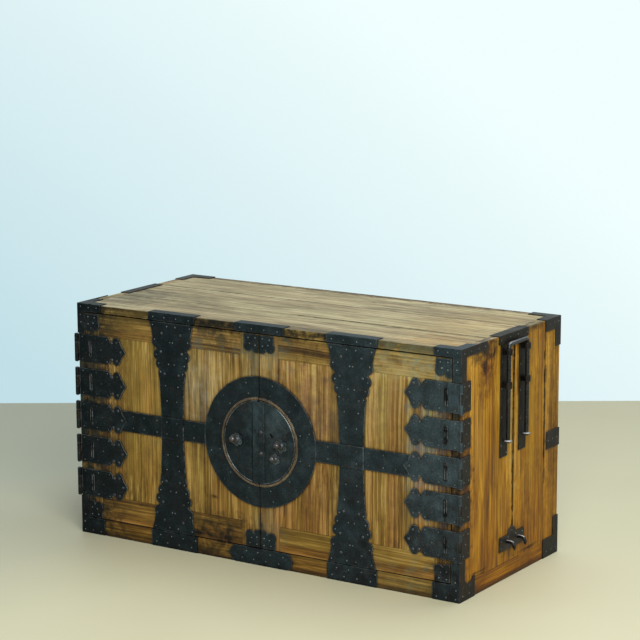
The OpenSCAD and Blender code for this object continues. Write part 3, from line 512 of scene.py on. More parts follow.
panel_wood = wood("panel_wood", "z", FRONT, 1.05, **front_look)
stile_wood = wood("stile_wood", "z", FRONT, 1.0, **front_look)
rail_wood = wood("rail_wood", "x", FRONT, 0.95, **front_look)
side_wood = wood("side_wood", "z", SIDE, 1.1, along=0.03, smoky=0.3, veined=0.5, varied=0.35,
                 **side_look)
side_rail_wood = wood("side_rail_wood", "y", SIDE, 1.0, smoky=0.2, veined=0.45, varied=0.5,
                      **side_look)
top_wood = wood("top_wood", "x", TOP, 0.92, veined=0.3, varied=0.25, stains_and_shade=TOP_STAINS,
                **top_look)
top_end_wood = wood("top_end_wood", "y", TOP, 1.0, stains_and_shade=SIDE_STAINS, **top_look)
inner_wood_x = wood("inner_wood_x", "x", INNER, **inner_look)
inner_wood_z = wood("inner_wood_z", "z", INNER, **inner_look)
inner_wood_y = wood("inner_wood_y", "y", INNER, **inner_look)


# Iron finishes

# Layers of noise in the iron: waves per metre, detail and roughness
BROWNED = (12.0, 4.0, 0.7)
BLOTCHES = (26.0, 4.0, 0.62)
RUST = (43.0, 4.0, 0.7)
DENTS = (60.0, 2.0, 0.4)
SCUFFS = (70.0, 3.0, 0.6)
SPECKS = (260.0, 3.0, 0.62)
CHIPS = (520.0, 1.0)
BROWNED_SHIFT = (1.7, 0, 0)

# Where the three colours of a palette sit in the iron's tone
IRON_TONES = (0.38, 0.52, 0.66)

# The painted blue sheen, which grows from the chest's left end to its right end, towards the window
# light
SHEEN = (rgb(41, 52, 56), rgb(57, 71, 77), rgb(75, 90, 96))
SHEEN_START, SHEEN_END = -0.5, 0.56

# The tint of the painted shade in an iron's corners
CORNER_SHADE = rgb(58, 57, 54)
RUST_BROWN = rgb(33, 31, 33)
RUST_RED = rgb(58, 42, 32)


def iron(name, palette, rust=0.3, wear=0.7, pale=rgb(128, 136, 136), metallic=0.0,
         roughness=(0.42, 0.6), specular=0.2, lit=0.0, crevice=1.0, rubbed=3.4 * MM, notches=0,
         stains_and_shade=(), lights=()):
    """Forged iron. palette is three colours from dark to pale; pale is the colour of worn edges.

    lit is how much painted sheen makes the iron bluer and paler towards the chest's right end,
    crevice how much painted shade darkens it in corners, and rubbed how wide its worn edges are.
    notches is how many cross the whole round of a bead.
    """
    g = Graph(name)

    # Its tone and colour
    blotches = g.noise(g.place, *BLOTCHES)
    specks = g.noise(g.place, *SPECKS)
    tone = g.blend((0.62, blotches), (0.38, specks))
    if notches:
        turn = g.calc("ARCTAN2", g.axis(0), g.calc("SUBTRACT", g.axis(2), mid_z))
        wave = g.calc("SINE", g.calc("MULTIPLY", turn, notches))
        tone = g.blend((0.85, tone), (0.05, wave), (0.15, 0.5))
    colour = g.ramp(tone, IRON_TONES, palette)
    # A painted sheen, paler and bluer towards the chest's right end
    if lit:
        sheen = g.ramp(tone, IRON_TONES, SHEEN)
        colour = g.mix(g.remap(g.axis(0), SHEEN_START, SHEEN_END, 0.0, lit), colour, sheen)
    colour = g.tint_patches(colour, stains_and_shade)
    colour = g.tint_patches(colour, lights, "SCREEN")

    # Painted shade in corners, then its age: rust, chips in the flat, and edges rubbed bare
    nearby = g.openness(9 * MM, samples=6)
    colour = g.mix(g.remap(nearby, 0.96, 0.45, 0.0, crevice), colour, CORNER_SHADE, "MULTIPLY")
    brown = g.remap(g.noise(g.vector("ADD", g.place, BROWNED_SHIFT), *BROWNED), 0.5, 0.64)
    colour = g.mix(g.calc("MULTIPLY", brown, rust), colour, RUST_BROWN)
    rusty = g.calc("MULTIPLY", g.remap(g.noise(g.place, *RUST), 0.54, 0.68), rust)
    colour = g.mix(rusty, colour, RUST_RED)
    chips = g.remap(g.noise(g.place, *CHIPS), 0.69, 0.76)
    colour = g.mix(g.calc("MULTIPLY", chips, 0.5 * wear), colour, pale)
    scuffs = g.remap(g.noise(g.place, *SCUFFS), 0.4, 0.62)
    from_gap = g.calc("ABSOLUTE", g.axis(0))
    scuffs = g.calc("MULTIPLY", scuffs, g.remap(from_gap, DOOR_GAP, 2 * DOOR_GAP))
    worn = g.calc("MULTIPLY", g.calc("MULTIPLY", g.worn_edges(rubbed), scuffs), wear)
    colour = g.mix(worn, colour, pale)

    g.set("Base Color", colour)
    g.set("Metallic", metallic)
    g.set("Specular IOR Level", specular)
    g.set("Roughness", g.remap(tone, 0.36, 0.66, *roughness))
    dents = g.noise(g.place, *DENTS)
    g.bump(g.blend((1.0, dents), (0.3, specks), (-0.3, chips)), 1.2 * MM, 0.6)
    return g.material


# The blackened irons of the front

BLACK = (rgb(2, 8, 10), rgb(7, 16, 19), rgb(26, 38, 42))
RUBBED_BLACK = rgb(112, 122, 124)
LIT = 0.45
LEAF_LIT = 0.72
BARREL_X = 520
LOW_STAIN = front_patches((440, 60, 330, 230, 1.0, (176, 160, 158)))
# Painted shadow that the cover strip casts on the lock plate beside its left edge
STRIP_EDGE_SHADOW = (-18.5, 293, 3.5, 160, 1.0, (50, 50, 50))
# Painted shade round the keyhole, so that the hole reads larger and darker
KEYHOLE_SHADE = (34, 311, 13, 15, 1.0, (8, 8, 8))
# Painted shade in the loops of the hinge leaves
LOOP_SHADE = front_patches(*[(s * loop_x / MM, z / MM, 7, 30, 1.0, (24, 26, 28))
                             for s in HANDS.values() for z in hinge_z])
# Painted highlights where each leaf bends into its barrel
BARREL_HIGHLIGHT = front_patches(*[(s * BARREL_X, 293, 1.6, 400, 0.9, (84, 92, 94))
                               for s in HANDS.values()])
# Painted light on the right half of the lock plate, strongest at its upper right
PLATE_PAINTED_LIGHT = front_patches(
    (30, 360, 90, 90, 0.8, (42, 54, 58)),
    (44, 300, 60, 110, 0.7, (38, 44, 45)),
)
# Painted highlights on the lip of the lock plate: strong at its upper right, faint at its lower left
LIP_HIGHLIGHT = front_patches(
    (72, 340, 34, 60, 1.0, (186, 198, 198)),
    (-60, 236, 40, 40, 0.4, (96, 100, 98)),
)

black_iron = iron("black_iron", BLACK, pale=RUBBED_BLACK, rust=0.2, wear=0.4, lit=LIT,
                  specular=0.1, stains_and_shade=LOW_STAIN)
plate_iron = iron("plate_iron", BLACK, pale=RUBBED_BLACK, wear=0.3, lit=LIT, crevice=0.3,
                  specular=0.1, stains_and_shade=front_patches(STRIP_EDGE_SHADOW, KEYHOLE_SHADE),
                  lights=PLATE_PAINTED_LIGHT)
leaf_iron = iron("leaf_iron", BLACK, pale=rgb(132, 140, 142), rust=0.2, wear=0.6, lit=LEAF_LIT,
                 specular=0.12, rubbed=2 * MM, stains_and_shade=LOOP_SHADE + LOW_STAIN,
                 lights=BARREL_HIGHLIGHT)
# Painted glint on the edges of the left leaves' heads that face right
glint_iron = iron("glint_iron", (rgb(100, 110, 112), rgb(146, 156, 158), rgb(190, 198, 200)),
                  rust=0.1, specular=0.3)
# Painted shade on the sides of the loops, except those that face right
shaded_slot_iron = iron("shaded_slot_iron", (rgb(2, 3, 4), rgb(6, 8, 9), rgb(14, 17, 18)), wear=0.2,
                 specular=0.05)
# Painted highlights on the edges that face up or right
edge_iron = iron("edge_iron", (rgb(22, 27, 29), rgb(42, 49, 52), rgb(84, 93, 96)),
                 pale=rgb(140, 148, 150))
rim_iron = iron("rim_iron", (rgb(54, 44, 34), rgb(92, 78, 60), rgb(134, 120, 98)),
                pale=rgb(176, 162, 136), notches=150)
lip_iron = iron("lip_iron", (rgb(22, 27, 28), rgb(40, 46, 48), rgb(70, 78, 80)), metallic=0.2,
                roughness=(0.3, 0.45), specular=0.4, pale=rgb(170, 176, 176), lights=LIP_HIGHLIGHT)

# The browner irons of the sides and the inside

# Painted light on the hook plate
HOOK_PLATE_PAINTED_LIGHT = side_patches((8, 62, 90, 50, 0.8, (38, 36, 30)))
# Painted shadows of the bail's legs on the handle plate
LEG_SHADOW = side_patches(*[(y, 420, 8, 150, 0.3, (90, 90, 90)) for y in (-45, 41)])

side_iron = iron("side_iron", (rgb(10, 8, 7), rgb(22, 19, 16), rgb(42, 37, 31)), rust=0.5,
                 wear=0.35, specular=0.16, pale=rgb(104, 102, 98), lights=HOOK_PLATE_PAINTED_LIGHT)
handle_iron = iron("handle_iron", (rgb(10, 9, 7), rgb(22, 20, 15), rgb(42, 38, 30)), rust=0.5,
                   wear=0.35, specular=0.12, pale=rgb(104, 102, 98), stains_and_shade=LEG_SHADOW)
lock_iron = iron("lock_iron", (rgb(30, 28, 26), rgb(46, 44, 42), rgb(64, 60, 56)), rust=0.5)

# The rubbed irons of studs, pulls and nails, and the rods and hooks with painted highlights

worn_iron = iron("worn_iron", (rgb(34, 34, 36), rgb(58, 58, 62), rgb(92, 90, 94)), rust=0.2,
                 metallic=0.5, roughness=(0.3, 0.46), specular=0.5)
boss_iron = iron("boss_iron", (rgb(34, 42, 45), rgb(52, 62, 66), rgb(84, 96, 100)),
                 rust=0.2, wear=0.4, metallic=0.4, roughness=(0.34, 0.46), specular=0.5,
                 crevice=0.9, pale=rgb(180, 188, 190))
pull_iron = iron("pull_iron", (rgb(44, 40, 40), rgb(76, 71, 72), rgb(124, 119, 121)),
                 rust=0.3, metallic=0.5, roughness=(0.24, 0.36), specular=0.5, crevice=0.5,
                 pale=rgb(200, 194, 196))
nail_iron = iron("nail_iron", (rgb(66, 70, 72), rgb(100, 106, 108), rgb(146, 150, 150)),
                 rust=0.1, metallic=0.4, roughness=(0.3, 0.46), specular=0.5)
dark_rod = iron("dark_rod", (rgb(18, 18, 18), rgb(34, 34, 34), rgb(62, 61, 60)), rust=0.3,
                metallic=0.5, roughness=(0.24, 0.38), specular=0.5)
# Painted highlight on the faces of a bail that look up
rod_highlight = iron("rod_highlight", (rgb(60, 60, 62), rgb(96, 96, 100), rgb(140, 140, 144)), rust=0.2,
                  metallic=0.6, roughness=(0.22, 0.36), specular=0.5)
# Painted highlights on the tops of the hooks and on the rims of the bail's feet
hook_shine = iron("hook_shine", (rgb(140, 140, 142), rgb(186, 186, 188), rgb(226, 226, 226)),
                  rust=0.1, metallic=0.3, roughness=(0.2, 0.32), specular=0.5)
hook_dark = iron("hook_dark", (rgb(6, 6, 6), rgb(12, 12, 12), rgb(28, 27, 26)),
                 roughness=(0.3, 0.44), specular=0.2, pale=rgb(150, 150, 150))


# Making pieces

# Vertices closer than this are one, and faces that turn less than this are flat
WELD = 1e-6
FLAT_ANGLE = 0.01


def settle(name, bm, body, slot, materials, replaced=()):
    """Makes the mesh a smooth-shaded piece that rides on a body and takes the place of nodes."""
    mesh = bpy.data.meshes.new(name)
    bm.to_mesh(mesh)
    bm.free()
    for material in materials:
        mesh.materials.append(material)
    mesh.polygons.foreach_set("use_smooth", [True] * len(mesh.polygons))
    mesh.set_sharp_from_angle(angle=SMOOTH_ANGLE)
    piece = bpy.data.objects.new(name, mesh)
    bpy.context.collection.objects.link(piece)
    weighted = piece.modifiers.new("flat_faces", "WEIGHTED_NORMAL")
    weighted.keep_sharp = True
    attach(piece, body)
    if replaced:
        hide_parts(*replaced)
    return piece


def copy_of(node):
    """The node's own shape, as a mesh to work on."""
    bm = bmesh.new()
    bm.from_mesh(frame["nodes"][node].data)
    bmesh.ops.remove_doubles(bm, verts=bm.verts[:], dist=WELD)
    return bm


def islands(bm):
    """The mesh's connected groups of vertices."""
    left = set(bm.verts)
    while left:
        group = set()
        reach = [left.pop()]
        while reach:
            vert = reach.pop()
            group.add(vert)
            for edge in vert.link_edges:
                other = edge.other_vert(vert)
                if other in left:
                    left.discard(other)
                    reach.append(other)
        yield group


def nearest_corner(group):
    """The group's corner nearest to the origin, which orders boards the same way in each run."""
    return min((v.co.length, *v.co) for v in group)[1:]


def number_boards(bm, name):
    """Gives each separate board a number of its own, from which its finish is shifted."""
    layer = bm.verts.layers.float.new("board")
    draw = random.Random(name)
    groups = sorted(islands(bm), key=nearest_corner)
    for group in groups:
        number = draw.random()
        for vert in group:
            vert[layer] = number


def choose(bm, pick):
    """Gives each face the material that pick(centre, normal) names by its number."""
    bm.normal_update()
    for face in bm.faces:
        face.material_index = pick(face.calc_center_median(), face.normal) if pick else 0


def dress(node, materials, rounding, pick=None):
    """A node's own shape with its edges rounded."""
    bm = copy_of(node)
    bmesh.ops.dissolve_limit(bm, angle_limit=FLAT_ANGLE, verts=bm.verts[:], edges=bm.edges[:])
    number_boards(bm, node)
    sharp = [e for e in bm.edges if e.is_manifold and e.calc_face_angle(0.0) > SMOOTH_ANGLE]
    bmesh.ops.bevel(bm, geom=sharp, offset=rounding, offset_type="OFFSET", segments=2,
                    profile=0.6, affect="EDGES", clamp_overlap=True)
    choose(bm, pick)
    return settle(node + "_dressed", bm, body_of[node], slot_of[node], materials, [node])


# Torn boards

BOARD_STEP = 5 * MM
# Waves per metre in the worn corners of a board and in its torn edges, coarse and fine
CORNER_WAVES, CORNER_DRIFT = 60, 9
TORN_WAVES, SPLINTER_WAVES = 38, 140
# How the boards at edges 1 and 2 share the width of the joint between them
JOINT_SHARES = {1: 0.7, 2: 0.3}
# How wide the joints are where they are torn, and where they are tight
TOP_TORN, TOP_SPLIT, TOP_TIGHT = 3.6 * MM, 1.2 * MM, 0.2 * MM
SIDE_TORN, REAR_TORN, SIDE_TIGHT = 15.0 * MM, 5.5 * MM, 0.3 * MM


def plank(bm, low, high, along, across, inset, chamfer):
    """A board lofted along its length. inset(end, s) is how far its near or far edge draws in."""
    thick = 3 - along - across
    count = max(2, round((high[along] - low[along]) / BOARD_STEP))
    rings = []
    for i in range(count + 1):
        s = low[along] + (high[along] - low[along]) * i / count
        a0 = low[across] + inset(0, s)
        a1 = high[across] - inset(1, s)
        t0, t1 = low[thick], high[thick]
        worn = noise.noise(Vector((s * CORNER_WAVES, a0 * CORNER_DRIFT, t1 * CORNER_DRIFT)))
        c = chamfer * max(0.25, 0.75 + 0.9 * worn)
        corners = [(a0 + c, t0), (a1 - c, t0), (a1, t0 + c), (a1, t1 - c),
                   (a1 - c, t1), (a0 + c, t1), (a0, t1 - c), (a0, t0 + c)]
        ring = []
        for a, t in corners:
            place = [0.0] * 3
            place[along], place[across], place[thick] = s, a, t
            ring.append(bm.verts.new(place))
        rings.append(ring)
    for ring, following in zip(rings, rings[1:]):
        for k in range(len(ring)):
            k2 = (k + 1) % len(ring)
            bm.faces.new((ring[k], ring[k2], following[k2], following[k]))
    bm.faces.new(rings[0])
    bm.faces.new(rings[-1])


def window(s, start, end, soft):
    """1 between start and end, falling to 0 over the soft length outside them."""
    return max(0.0, min(1.0, (s - start) / soft + 1, (end - s) / soft + 1))


def ragged(s, depth, seed):
    """A torn edge: how deep it is bitten at s, up to about depth."""
    coarse = noise.noise(Vector((s * TORN_WAVES, seed, 0.0)))
    fine = noise.noise(Vector((s * SPLINTER_WAVES, seed, 7.0)))
    return depth * max(0.0, min(1.0, 0.45 + 0.9 * coarse + 0.5 * fine))


def boards(node, along, across, materials, torn, chamfer, pick):
    """The boards of a node. torn(edge, s) is how deep a long edge is torn at s: 0 is the first."""
    bm = copy_of(node)
    spans = []
    for group in islands(bm):
        low = [min(v.co[k] for v in group) for k in range(3)]
        high = [max(v.co[k] for v in group) for k in range(3)]
        spans.append((low, high))
    bm.free()
    spans.sort(key=lambda span: span[0][across])
    bm = bmesh.new()
    for i, (low, high) in enumerate(spans):
        plank(bm, low, high, along, across, lambda end, s, i=i: torn(2 * i + end, s), chamfer)
    bmesh.ops.recalc_face_normals(bm, faces=bm.faces[:])
    number_boards(bm, node)
    choose(bm, pick)
    return settle(node + "_planks", bm, body_of[node], slot_of[node], materials, [node])


def top_torn(edge, s):
    """The first joint of the top is torn on its right half, and the second a little on the left."""
    if edge in JOINT_SHARES:
        width = ragged(s, TOP_TORN, 1.0) * window(s, 0.0, 0.43, 0.03) + TOP_TIGHT
        return width * JOINT_SHARES[edge]
    if edge in (3, 4):
        return ragged(s, TOP_SPLIT, 2.0) * window(s, -0.3, 0.2, 0.1) / 2
    return 0.0


def side_torn(edge, s):
    """The side's joint is torn above its foot, and so is the rear edge beside the post."""
    if edge in JOINT_SHARES:
        width = ragged(s, SIDE_TORN, 3.0) * window(s, 0.15, body_top, 0.06) + SIDE_TIGHT
        return width * JOINT_SHARES[edge]
    if edge == 3:
        return ragged(s, REAR_TORN, 5.0) * window(s, 0.26, 0.5, 0.05)
    return 0.0


# Wooden pieces

# How much of a face's normal points one way, for the face to count as looking that way
FACING = 0.5
END_DEPTH = 3 * MM


def outwards(centre, normal):
    """How much of the normal points to the nearer side of the chest."""
    return normal.x * math.copysign(1, centre.x)


def on_top_board(centre, normal):
    """1 on the front edge, and 2 on the rear edge and the underside."""
    if normal.y < -FACING:
        return 1
    return 2 if normal.z < -FACING or normal.y > FACING else 0


def on_upright(centre, normal):
    """1 on the end at the top, and 2 on a face that looks inwards."""
    if normal.z > FACING and centre.z > body_top - END_DEPTH:
        return 1
    return 2 if outwards(centre, normal) < -FACING else 0


def on_post(centre, normal):
    """3 on a face that looks outwards, which matches the side."""
    return 3 if outwards(centre, normal) > FACING else on_upright(centre, normal)


def on_back(centre, normal):
    """1 on the back, which is seen with the doors open."""
    return 1 if normal.y > FACING else 0


UPRIGHT_WOODS = [side_wood, top_end_wood, inner_wood_z]
DOOR_WOODS = {
    "hinge_stile": ([stile_wood, inner_wood_z], 0.7 * MM),
    "meeting_stile": ([stile_wood, inner_wood_z], 0.7 * MM),
    "door_rails": ([rail_wood, inner_wood_x], 0.6 * MM),
    "door_panel": ([panel_wood, inner_wood_z], 0.5 * MM),
}
INNER_ROUNDING = 0.8 * MM

boards("top_boards", 0, 1, [top_wood, rail_wood, inner_wood_x], top_torn, 1.3 * MM, on_top_board)
for hand in HANDS:
    boards(f"{hand}_side_boards", 2, 1, UPRIGHT_WOODS, side_torn, 0.8 * MM, on_upright)
    for part, (finishes, rounding) in DOOR_WOODS.items():
        dress(f"{hand}_{part}", finishes, rounding, on_back)
dress("front_rail", [rail_wood, inner_wood_x], 1.0 * MM, on_back)
dress("front_posts", [stile_wood, top_end_wood, inner_wood_z, side_wood], 1.0 * MM, on_post)
dress("rear_posts", UPRIGHT_WOODS, 1.0 * MM, on_upright)
dress("side_rails", [side_rail_wood], 0.9 * MM)
for node in ("bottom_boards", "base_bearer", "back_boards", "shelf", "door_stops"):
    dress(node, [inner_wood_x], INNER_ROUNDING)
dress("shelf_cleats", [inner_wood_y], INNER_ROUNDING)


# Iron pieces

# How far past an iron's skin a face belongs to a raised form, or to the side
PROUD = 0.2 * MM
BEAD_PROUD = 0.15 * MM
STUD_PROUD = 0.1 * MM
SKIN = 0.5 * MM
BALL_PROUD = 10 * MM

LOOP_REACH = 6 * MM
BEAD_REACH = 10 * MM
FOOT_REACH = 8 * MM

# How much of a face's normal points one way, for the face to get the finish of its place
BARREL_FACE = 0.4
BRIGHT_EDGE = 0.6
GLINT_EDGE, GLINT_FRONT = 0.3, 0.7
FOOT_RIM = 0.3
ROD_TOP = 0.62
HOOK_TOP = 0.76


def from_middle(centre):
    """The distance from the middle of the lock plate."""
    return math.hypot(centre.x, centre.z - mid_z)


def on_lit_edge(centre, normal):
    """1 on the edges that face up or right, with a painted highlight, but not in the doors' gap."""
    bright = normal.x + normal.z > BRIGHT_EDGE and normal.y > -BRIGHT_EDGE
    return 1 if bright and abs(centre.x) >= DOOR_GAP else 0


def on_leaf(centre, normal):
    """1 on such edges of a leaf, 2 on the barrel at the corner, 3 on the sides of a loop, in painted
    shade.

    4 is the edge of a left leaf's head that faces right, which gets a painted glint.
    """
    if abs(centre.x) > iron_x - BARREL_WIDTH and abs(normal.x) > BARREL_FACE:
        return 2
    if centre.y < door_iron_y - PROUD and abs(abs(centre.x) - loop_x) < LOOP_REACH:
        return 1 if normal.x > BRIGHT_EDGE else 3
    if centre.x < 0 and normal.x > GLINT_EDGE and normal.y > -GLINT_FRONT:
        return 4
    return on_lit_edge(centre, normal)


def on_knuckle(centre, normal):
    """1 on the front of a side leaf's knuckles, which match the leaf on the door."""
    return 1 if normal.y < -BARREL_FACE else 0


def on_bead(centre, normal):
    """1 on the bead round the lock plate, which is worn paler, and 2 on the ring's painted
    highlights.
    """
    if centre.y < door_iron_y - BEAD_PROUD and from_middle(centre) < disc_r + BEAD_REACH:
        return 1
    return 2 * on_lit_edge(centre, normal)


def on_lip(centre, normal):
    """1 on the lip at the edge of the lock plate."""
    return 1 if from_middle(centre) > disc_r - LIP_WIDTH - PROUD and normal.y < FACING else 0


def on_stud(centre, normal):
    """1 on the studs of the cover strip."""
    return 1 if centre.y < strip_front - STUD_PROUD else 0


def on_ball(centre, normal):
    """1 on the ball of a pull, beyond its boss."""
    return 1 if centre.y < disc_front - BALL_PROUD else 0


def on_rod(centre, normal):
    """1 on the faces that look up, with a painted highlight, and 2 on its feet's rims, painted
    brighter.
    """
    if centre.z < bail_foot + FOOT_REACH:
        return 2 if normal.z > FOOT_RIM else 0
    return 1 if normal.z > ROD_TOP else 0


def on_hook(centre, normal):
    """1 where the other section's handle rubs a hook bright."""
    # 1 on the faces of a hook that look up, with a painted highlight.
    return 1 if normal.z > HOOK_TOP else 0


def on_side(centre, normal):
    """1 on the parts of a corner iron that lie on the side and the back."""
    return 1 if abs(centre.x) > iron_x - SKIN or centre.y > 0 else 0


IRON_ROUNDING = 0.5 * MM
PLATE_ROUNDING = 0.4 * MM
BAND_FINISHES = [black_iron, edge_iron]
LEAF_FINISHES = [leaf_iron, edge_iron, side_iron, shaded_slot_iron, glint_iron]
HANDED_IRONS = {
    "tapered_band": (BAND_FINISHES, IRON_ROUNDING, on_lit_edge),
    "door_corner_irons": (BAND_FINISHES, IRON_ROUNDING, on_lit_edge),
    "hinge_leaves": (LEAF_FINISHES, IRON_ROUNDING, on_leaf),
    "cross_band": (BAND_FINISHES, 0.8 * MM, on_lit_edge),
    "lock_plate": ([plate_iron, lip_iron], PLATE_ROUNDING, on_lip),
    "ring_plate": ([black_iron, rim_iron, edge_iron], PLATE_ROUNDING, on_bead),
    "cover_strip": ([plate_iron, worn_iron], PLATE_ROUNDING, on_stud),
    "hinge_side_leaves": ([side_iron, leaf_iron], IRON_ROUNDING, on_knuckle),
    "handle_guides": ([side_iron], IRON_ROUNDING, None),
    "hook_plate": ([side_iron], IRON_ROUNDING, None),
    "handle_plate": ([handle_iron], IRON_ROUNDING, None),
    "pull": ([boss_iron, pull_iron], 0.8 * MM, on_ball),
    "bail": ([dark_rod, rod_highlight, hook_shine], PLATE_ROUNDING, on_rod),
    "hooks": ([hook_dark, hook_shine], PLATE_ROUNDING, on_hook),
}

for hand in HANDS:
    for part, (finishes, rounding, pick) in HANDED_IRONS.items():
        dress(f"{hand}_{part}", finishes, rounding, pick)
for node in ("front_corner_irons", "rear_corner_irons", "rear_mid_irons"):
    dress(node, [black_iron, side_iron], IRON_ROUNDING, on_side)
for node in ("top_edge_irons", "foot_rail_irons"):
    dress(node, [black_iron], IRON_ROUNDING)
dress("hinge_pins", [worn_iron], 0.3 * MM)
dress("latch_knob", [boss_iron, pull_iron], 0.6 * MM, on_ball)
for node in ("lock_case", "lock_bolt", "bolt_keeper"):
    dress(node, [lock_iron], PLATE_ROUNDING)


# Nails and rivets

# Radius and height of a head
NAIL = (1.7 * MM, 0.8 * MM)
RIVET = (3.3 * MM, 1.8 * MM)
HEAD_SIDES = 9
HEAD_RINGS = 3


def dome(bm, place, normal, radius, height):
    """A round nail head whose base sits on the place."""
    side = normal.orthogonal().normalized()
    up = normal.cross(side)
    previous = None
    for j in range(HEAD_RINGS):
        tilt = math.pi / 2 * j / HEAD_RINGS
        circle = []
        for k in range(HEAD_SIDES):
            turn = 2 * math.pi * k / HEAD_SIDES
            out = side * math.cos(turn) + up * math.sin(turn)
            circle.append(bm.verts.new(place + out * radius * math.cos(tilt)
                                       + normal * (height * math.sin(tilt))))
        if previous:
            for k in range(HEAD_SIDES):
                k2 = (k + 1) % HEAD_SIDES
                bm.faces.new((previous[k], previous[k2], circle[k2], circle[k]))
        else:
            bm.faces.new(circle[::-1])
        previous = circle
    tip = bm.verts.new(place + normal * height)
    for k in range(HEAD_SIDES):
        bm.faces.new((previous[k], previous[(k + 1) % HEAD_SIDES], tip))


def nails(name, body, normal, size, places, material):
    """One piece that holds a group of nail heads."""
    bm = bmesh.new()
    for place in places:
        dome(bm, Vector(place), Vector(normal), *size)
    bmesh.ops.recalc_face_normals(bm, faces=bm.faces[:])
    return settle(name, bm, body, "worn_iron", [material])


def mirrored(pairs):
    """The pairs and their mirror images in the second number."""
    return pairs + [(u, -v) for u, v in pairs if v]


# Nail places in millimetres, as offsets from an edge or a middle of each iron
BAND_RIVETS = [(27, 26), (30, 70), (20, 122)]
BAND_NAILS = [(53, 8), (12, 9), (48, 42), (4, 46), (43, 78), (37, 98), (32, 118), (8, 98),
              (18, 150), (14, 186)]
LEAF_RIVETS = mirrored([(103, 20), (118, 22), (129, 0)])
LEAF_NAILS = mirrored([(54, 26), (88, 27), (70, 0), (14, 27)])
DOOR_CORNER_NAILS = [(8, 7), (27, 8), (8, 24), (23, 21)]
CROSS_NAILS = [185, 232, 262, 292, 330, 362]
CROSS_ROW = 14
CROSSING_REACH, CROSSING_RISE = 30, 2
RING_NAILS = 6
RING_INSETS = (13, 38)
CORNER_NAILS = [(10, 8), (34, 9), (58, 8), (9, 28), (11, 46)]
EDGE_NAILS = [-52, -20, 14, 50]
EDGE_SHIFT = 12
EDGE_DROP = 11
FOOT_ROWS = (0.3, 0.74)
STRIP_NAILS = [14, 44, 76, 106]
STRIP_FOOT_ROWS = (13, 31)
REAR_NAILS = [12, 34, 56]
REAR_DROP, REAR_RISE = 12, 14
SIDE_LEAF_NAILS = mirrored([(15, 24), (35, 22), (25, 0)])
HANDLE_NAILS = [(60, 11), (18, 9)]
LEG_NAILS = [60, 120, 185, 250]
LEG_OUTER, LEG_INNER, LEG_STAGGER = 56, 32, 20
HOOK_NAILS = [(-50, -9), (-50, 8), (-18, 12), (0, 24), (18, 12), (50, 9), (50, -8), (0, -9)]
HOOK_RISE = 16.5

carcass = body_of["front_corner_irons"]


def door_nails(hand, s):
    """The rivets, the bright nails and the dull nails of one door. s is -1 for the left."""
    y = door_iron_y
    rivets = []
    bright = []
    dull = []
    for end in (-1, 1):
        for m in (-1, 1):
            for group, places in ((rivets, BAND_RIVETS), (bright, BAND_NAILS)):
                for x, e in places:
                    group.append((s * (band_x + m * x * MM), y, mid_z + end * (door_half - e * MM)))
        end_z = corner_hi.z if end > 0 else corner_lo.z
        for edge_x, m in ((corner_lo.x, 1), (corner_hi.x, -1)):
            for x, e in DOOR_CORNER_NAILS:
                bright.append((s * (edge_x + m * x * MM), y, end_z - end * e * MM))
    for z in hinge_z:
        rivets += [(s * (iron_x - u * MM), y, z + v * MM) for u, v in LEAF_RIVETS]
        dull += [(s * (iron_x - u * MM), y, z + v * MM) for u, v in LEAF_NAILS]
    for k in range(RING_NAILS):
        turn = math.pi * (k + 0.5) / RING_NAILS
        for inset in RING_INSETS:
            r = ring_r - inset * MM
            dull.append((s * r * math.sin(turn), y, mid_z + r * math.cos(turn)))
    for x in CROSS_NAILS:
        on_crossing = abs(x * MM - band_x) < CROSSING_REACH * MM
        front = y - CROSSING_RISE * MM if on_crossing else y
        for m in (-1, 1):
            dull.append((s * x * MM, front, mid_z + m * CROSS_ROW * MM))
    body = f"{hand}_door"
    nails(f"{hand}_door_rivets", body, (0, -1, 0), RIVET, rivets, worn_iron)
    nails(f"{hand}_door_nails", body, (0, -1, 0), NAIL, bright, nail_iron)
    nails(f"{hand}_dull_nails", body, (0, -1, 0), NAIL, dull, worn_iron)


def side_nails(hand, s):
    """The nails of one side of the carcass."""
    spots = [(frame_iron_y + a * MM, iron_top - EDGE_DROP * MM) for a in STRIP_NAILS]
    for a in STRIP_NAILS[:2]:
        spots += [(frame_iron_y + a * MM, z * MM) for z in STRIP_FOOT_ROWS]
    for e in REAR_NAILS:
        for z in (iron_top - REAR_DROP * MM, REAR_RISE * MM, rear_mid_z):
            spots.append((rear_iron_y - e * MM, z))
    for z in hinge_z:
        spots += [(frame_iron_y + a * MM, z + v * MM) for a, v in SIDE_LEAF_NAILS]
    for m in (-1, 1):
        spots += [(handle_y + m * a * MM, iron_top - e * MM) for a, e in HANDLE_NAILS]
        for e in LEG_NAILS:
            spots.append((handle_y + m * LEG_OUTER * MM, iron_top - e * MM))
            spots.append((handle_y + m * LEG_INNER * MM, iron_top - (e + LEG_STAGGER) * MM))
    hook_z = hook_foot + HOOK_RISE * MM
    spots += [(hook_y + a * MM, hook_z + v * MM) for a, v in HOOK_NAILS]
    places = [(s * iron_x, y, z) for y, z in spots]
    nails(f"{hand}_side_nails", carcass, (s, 0, 0), NAIL, places, worn_iron)


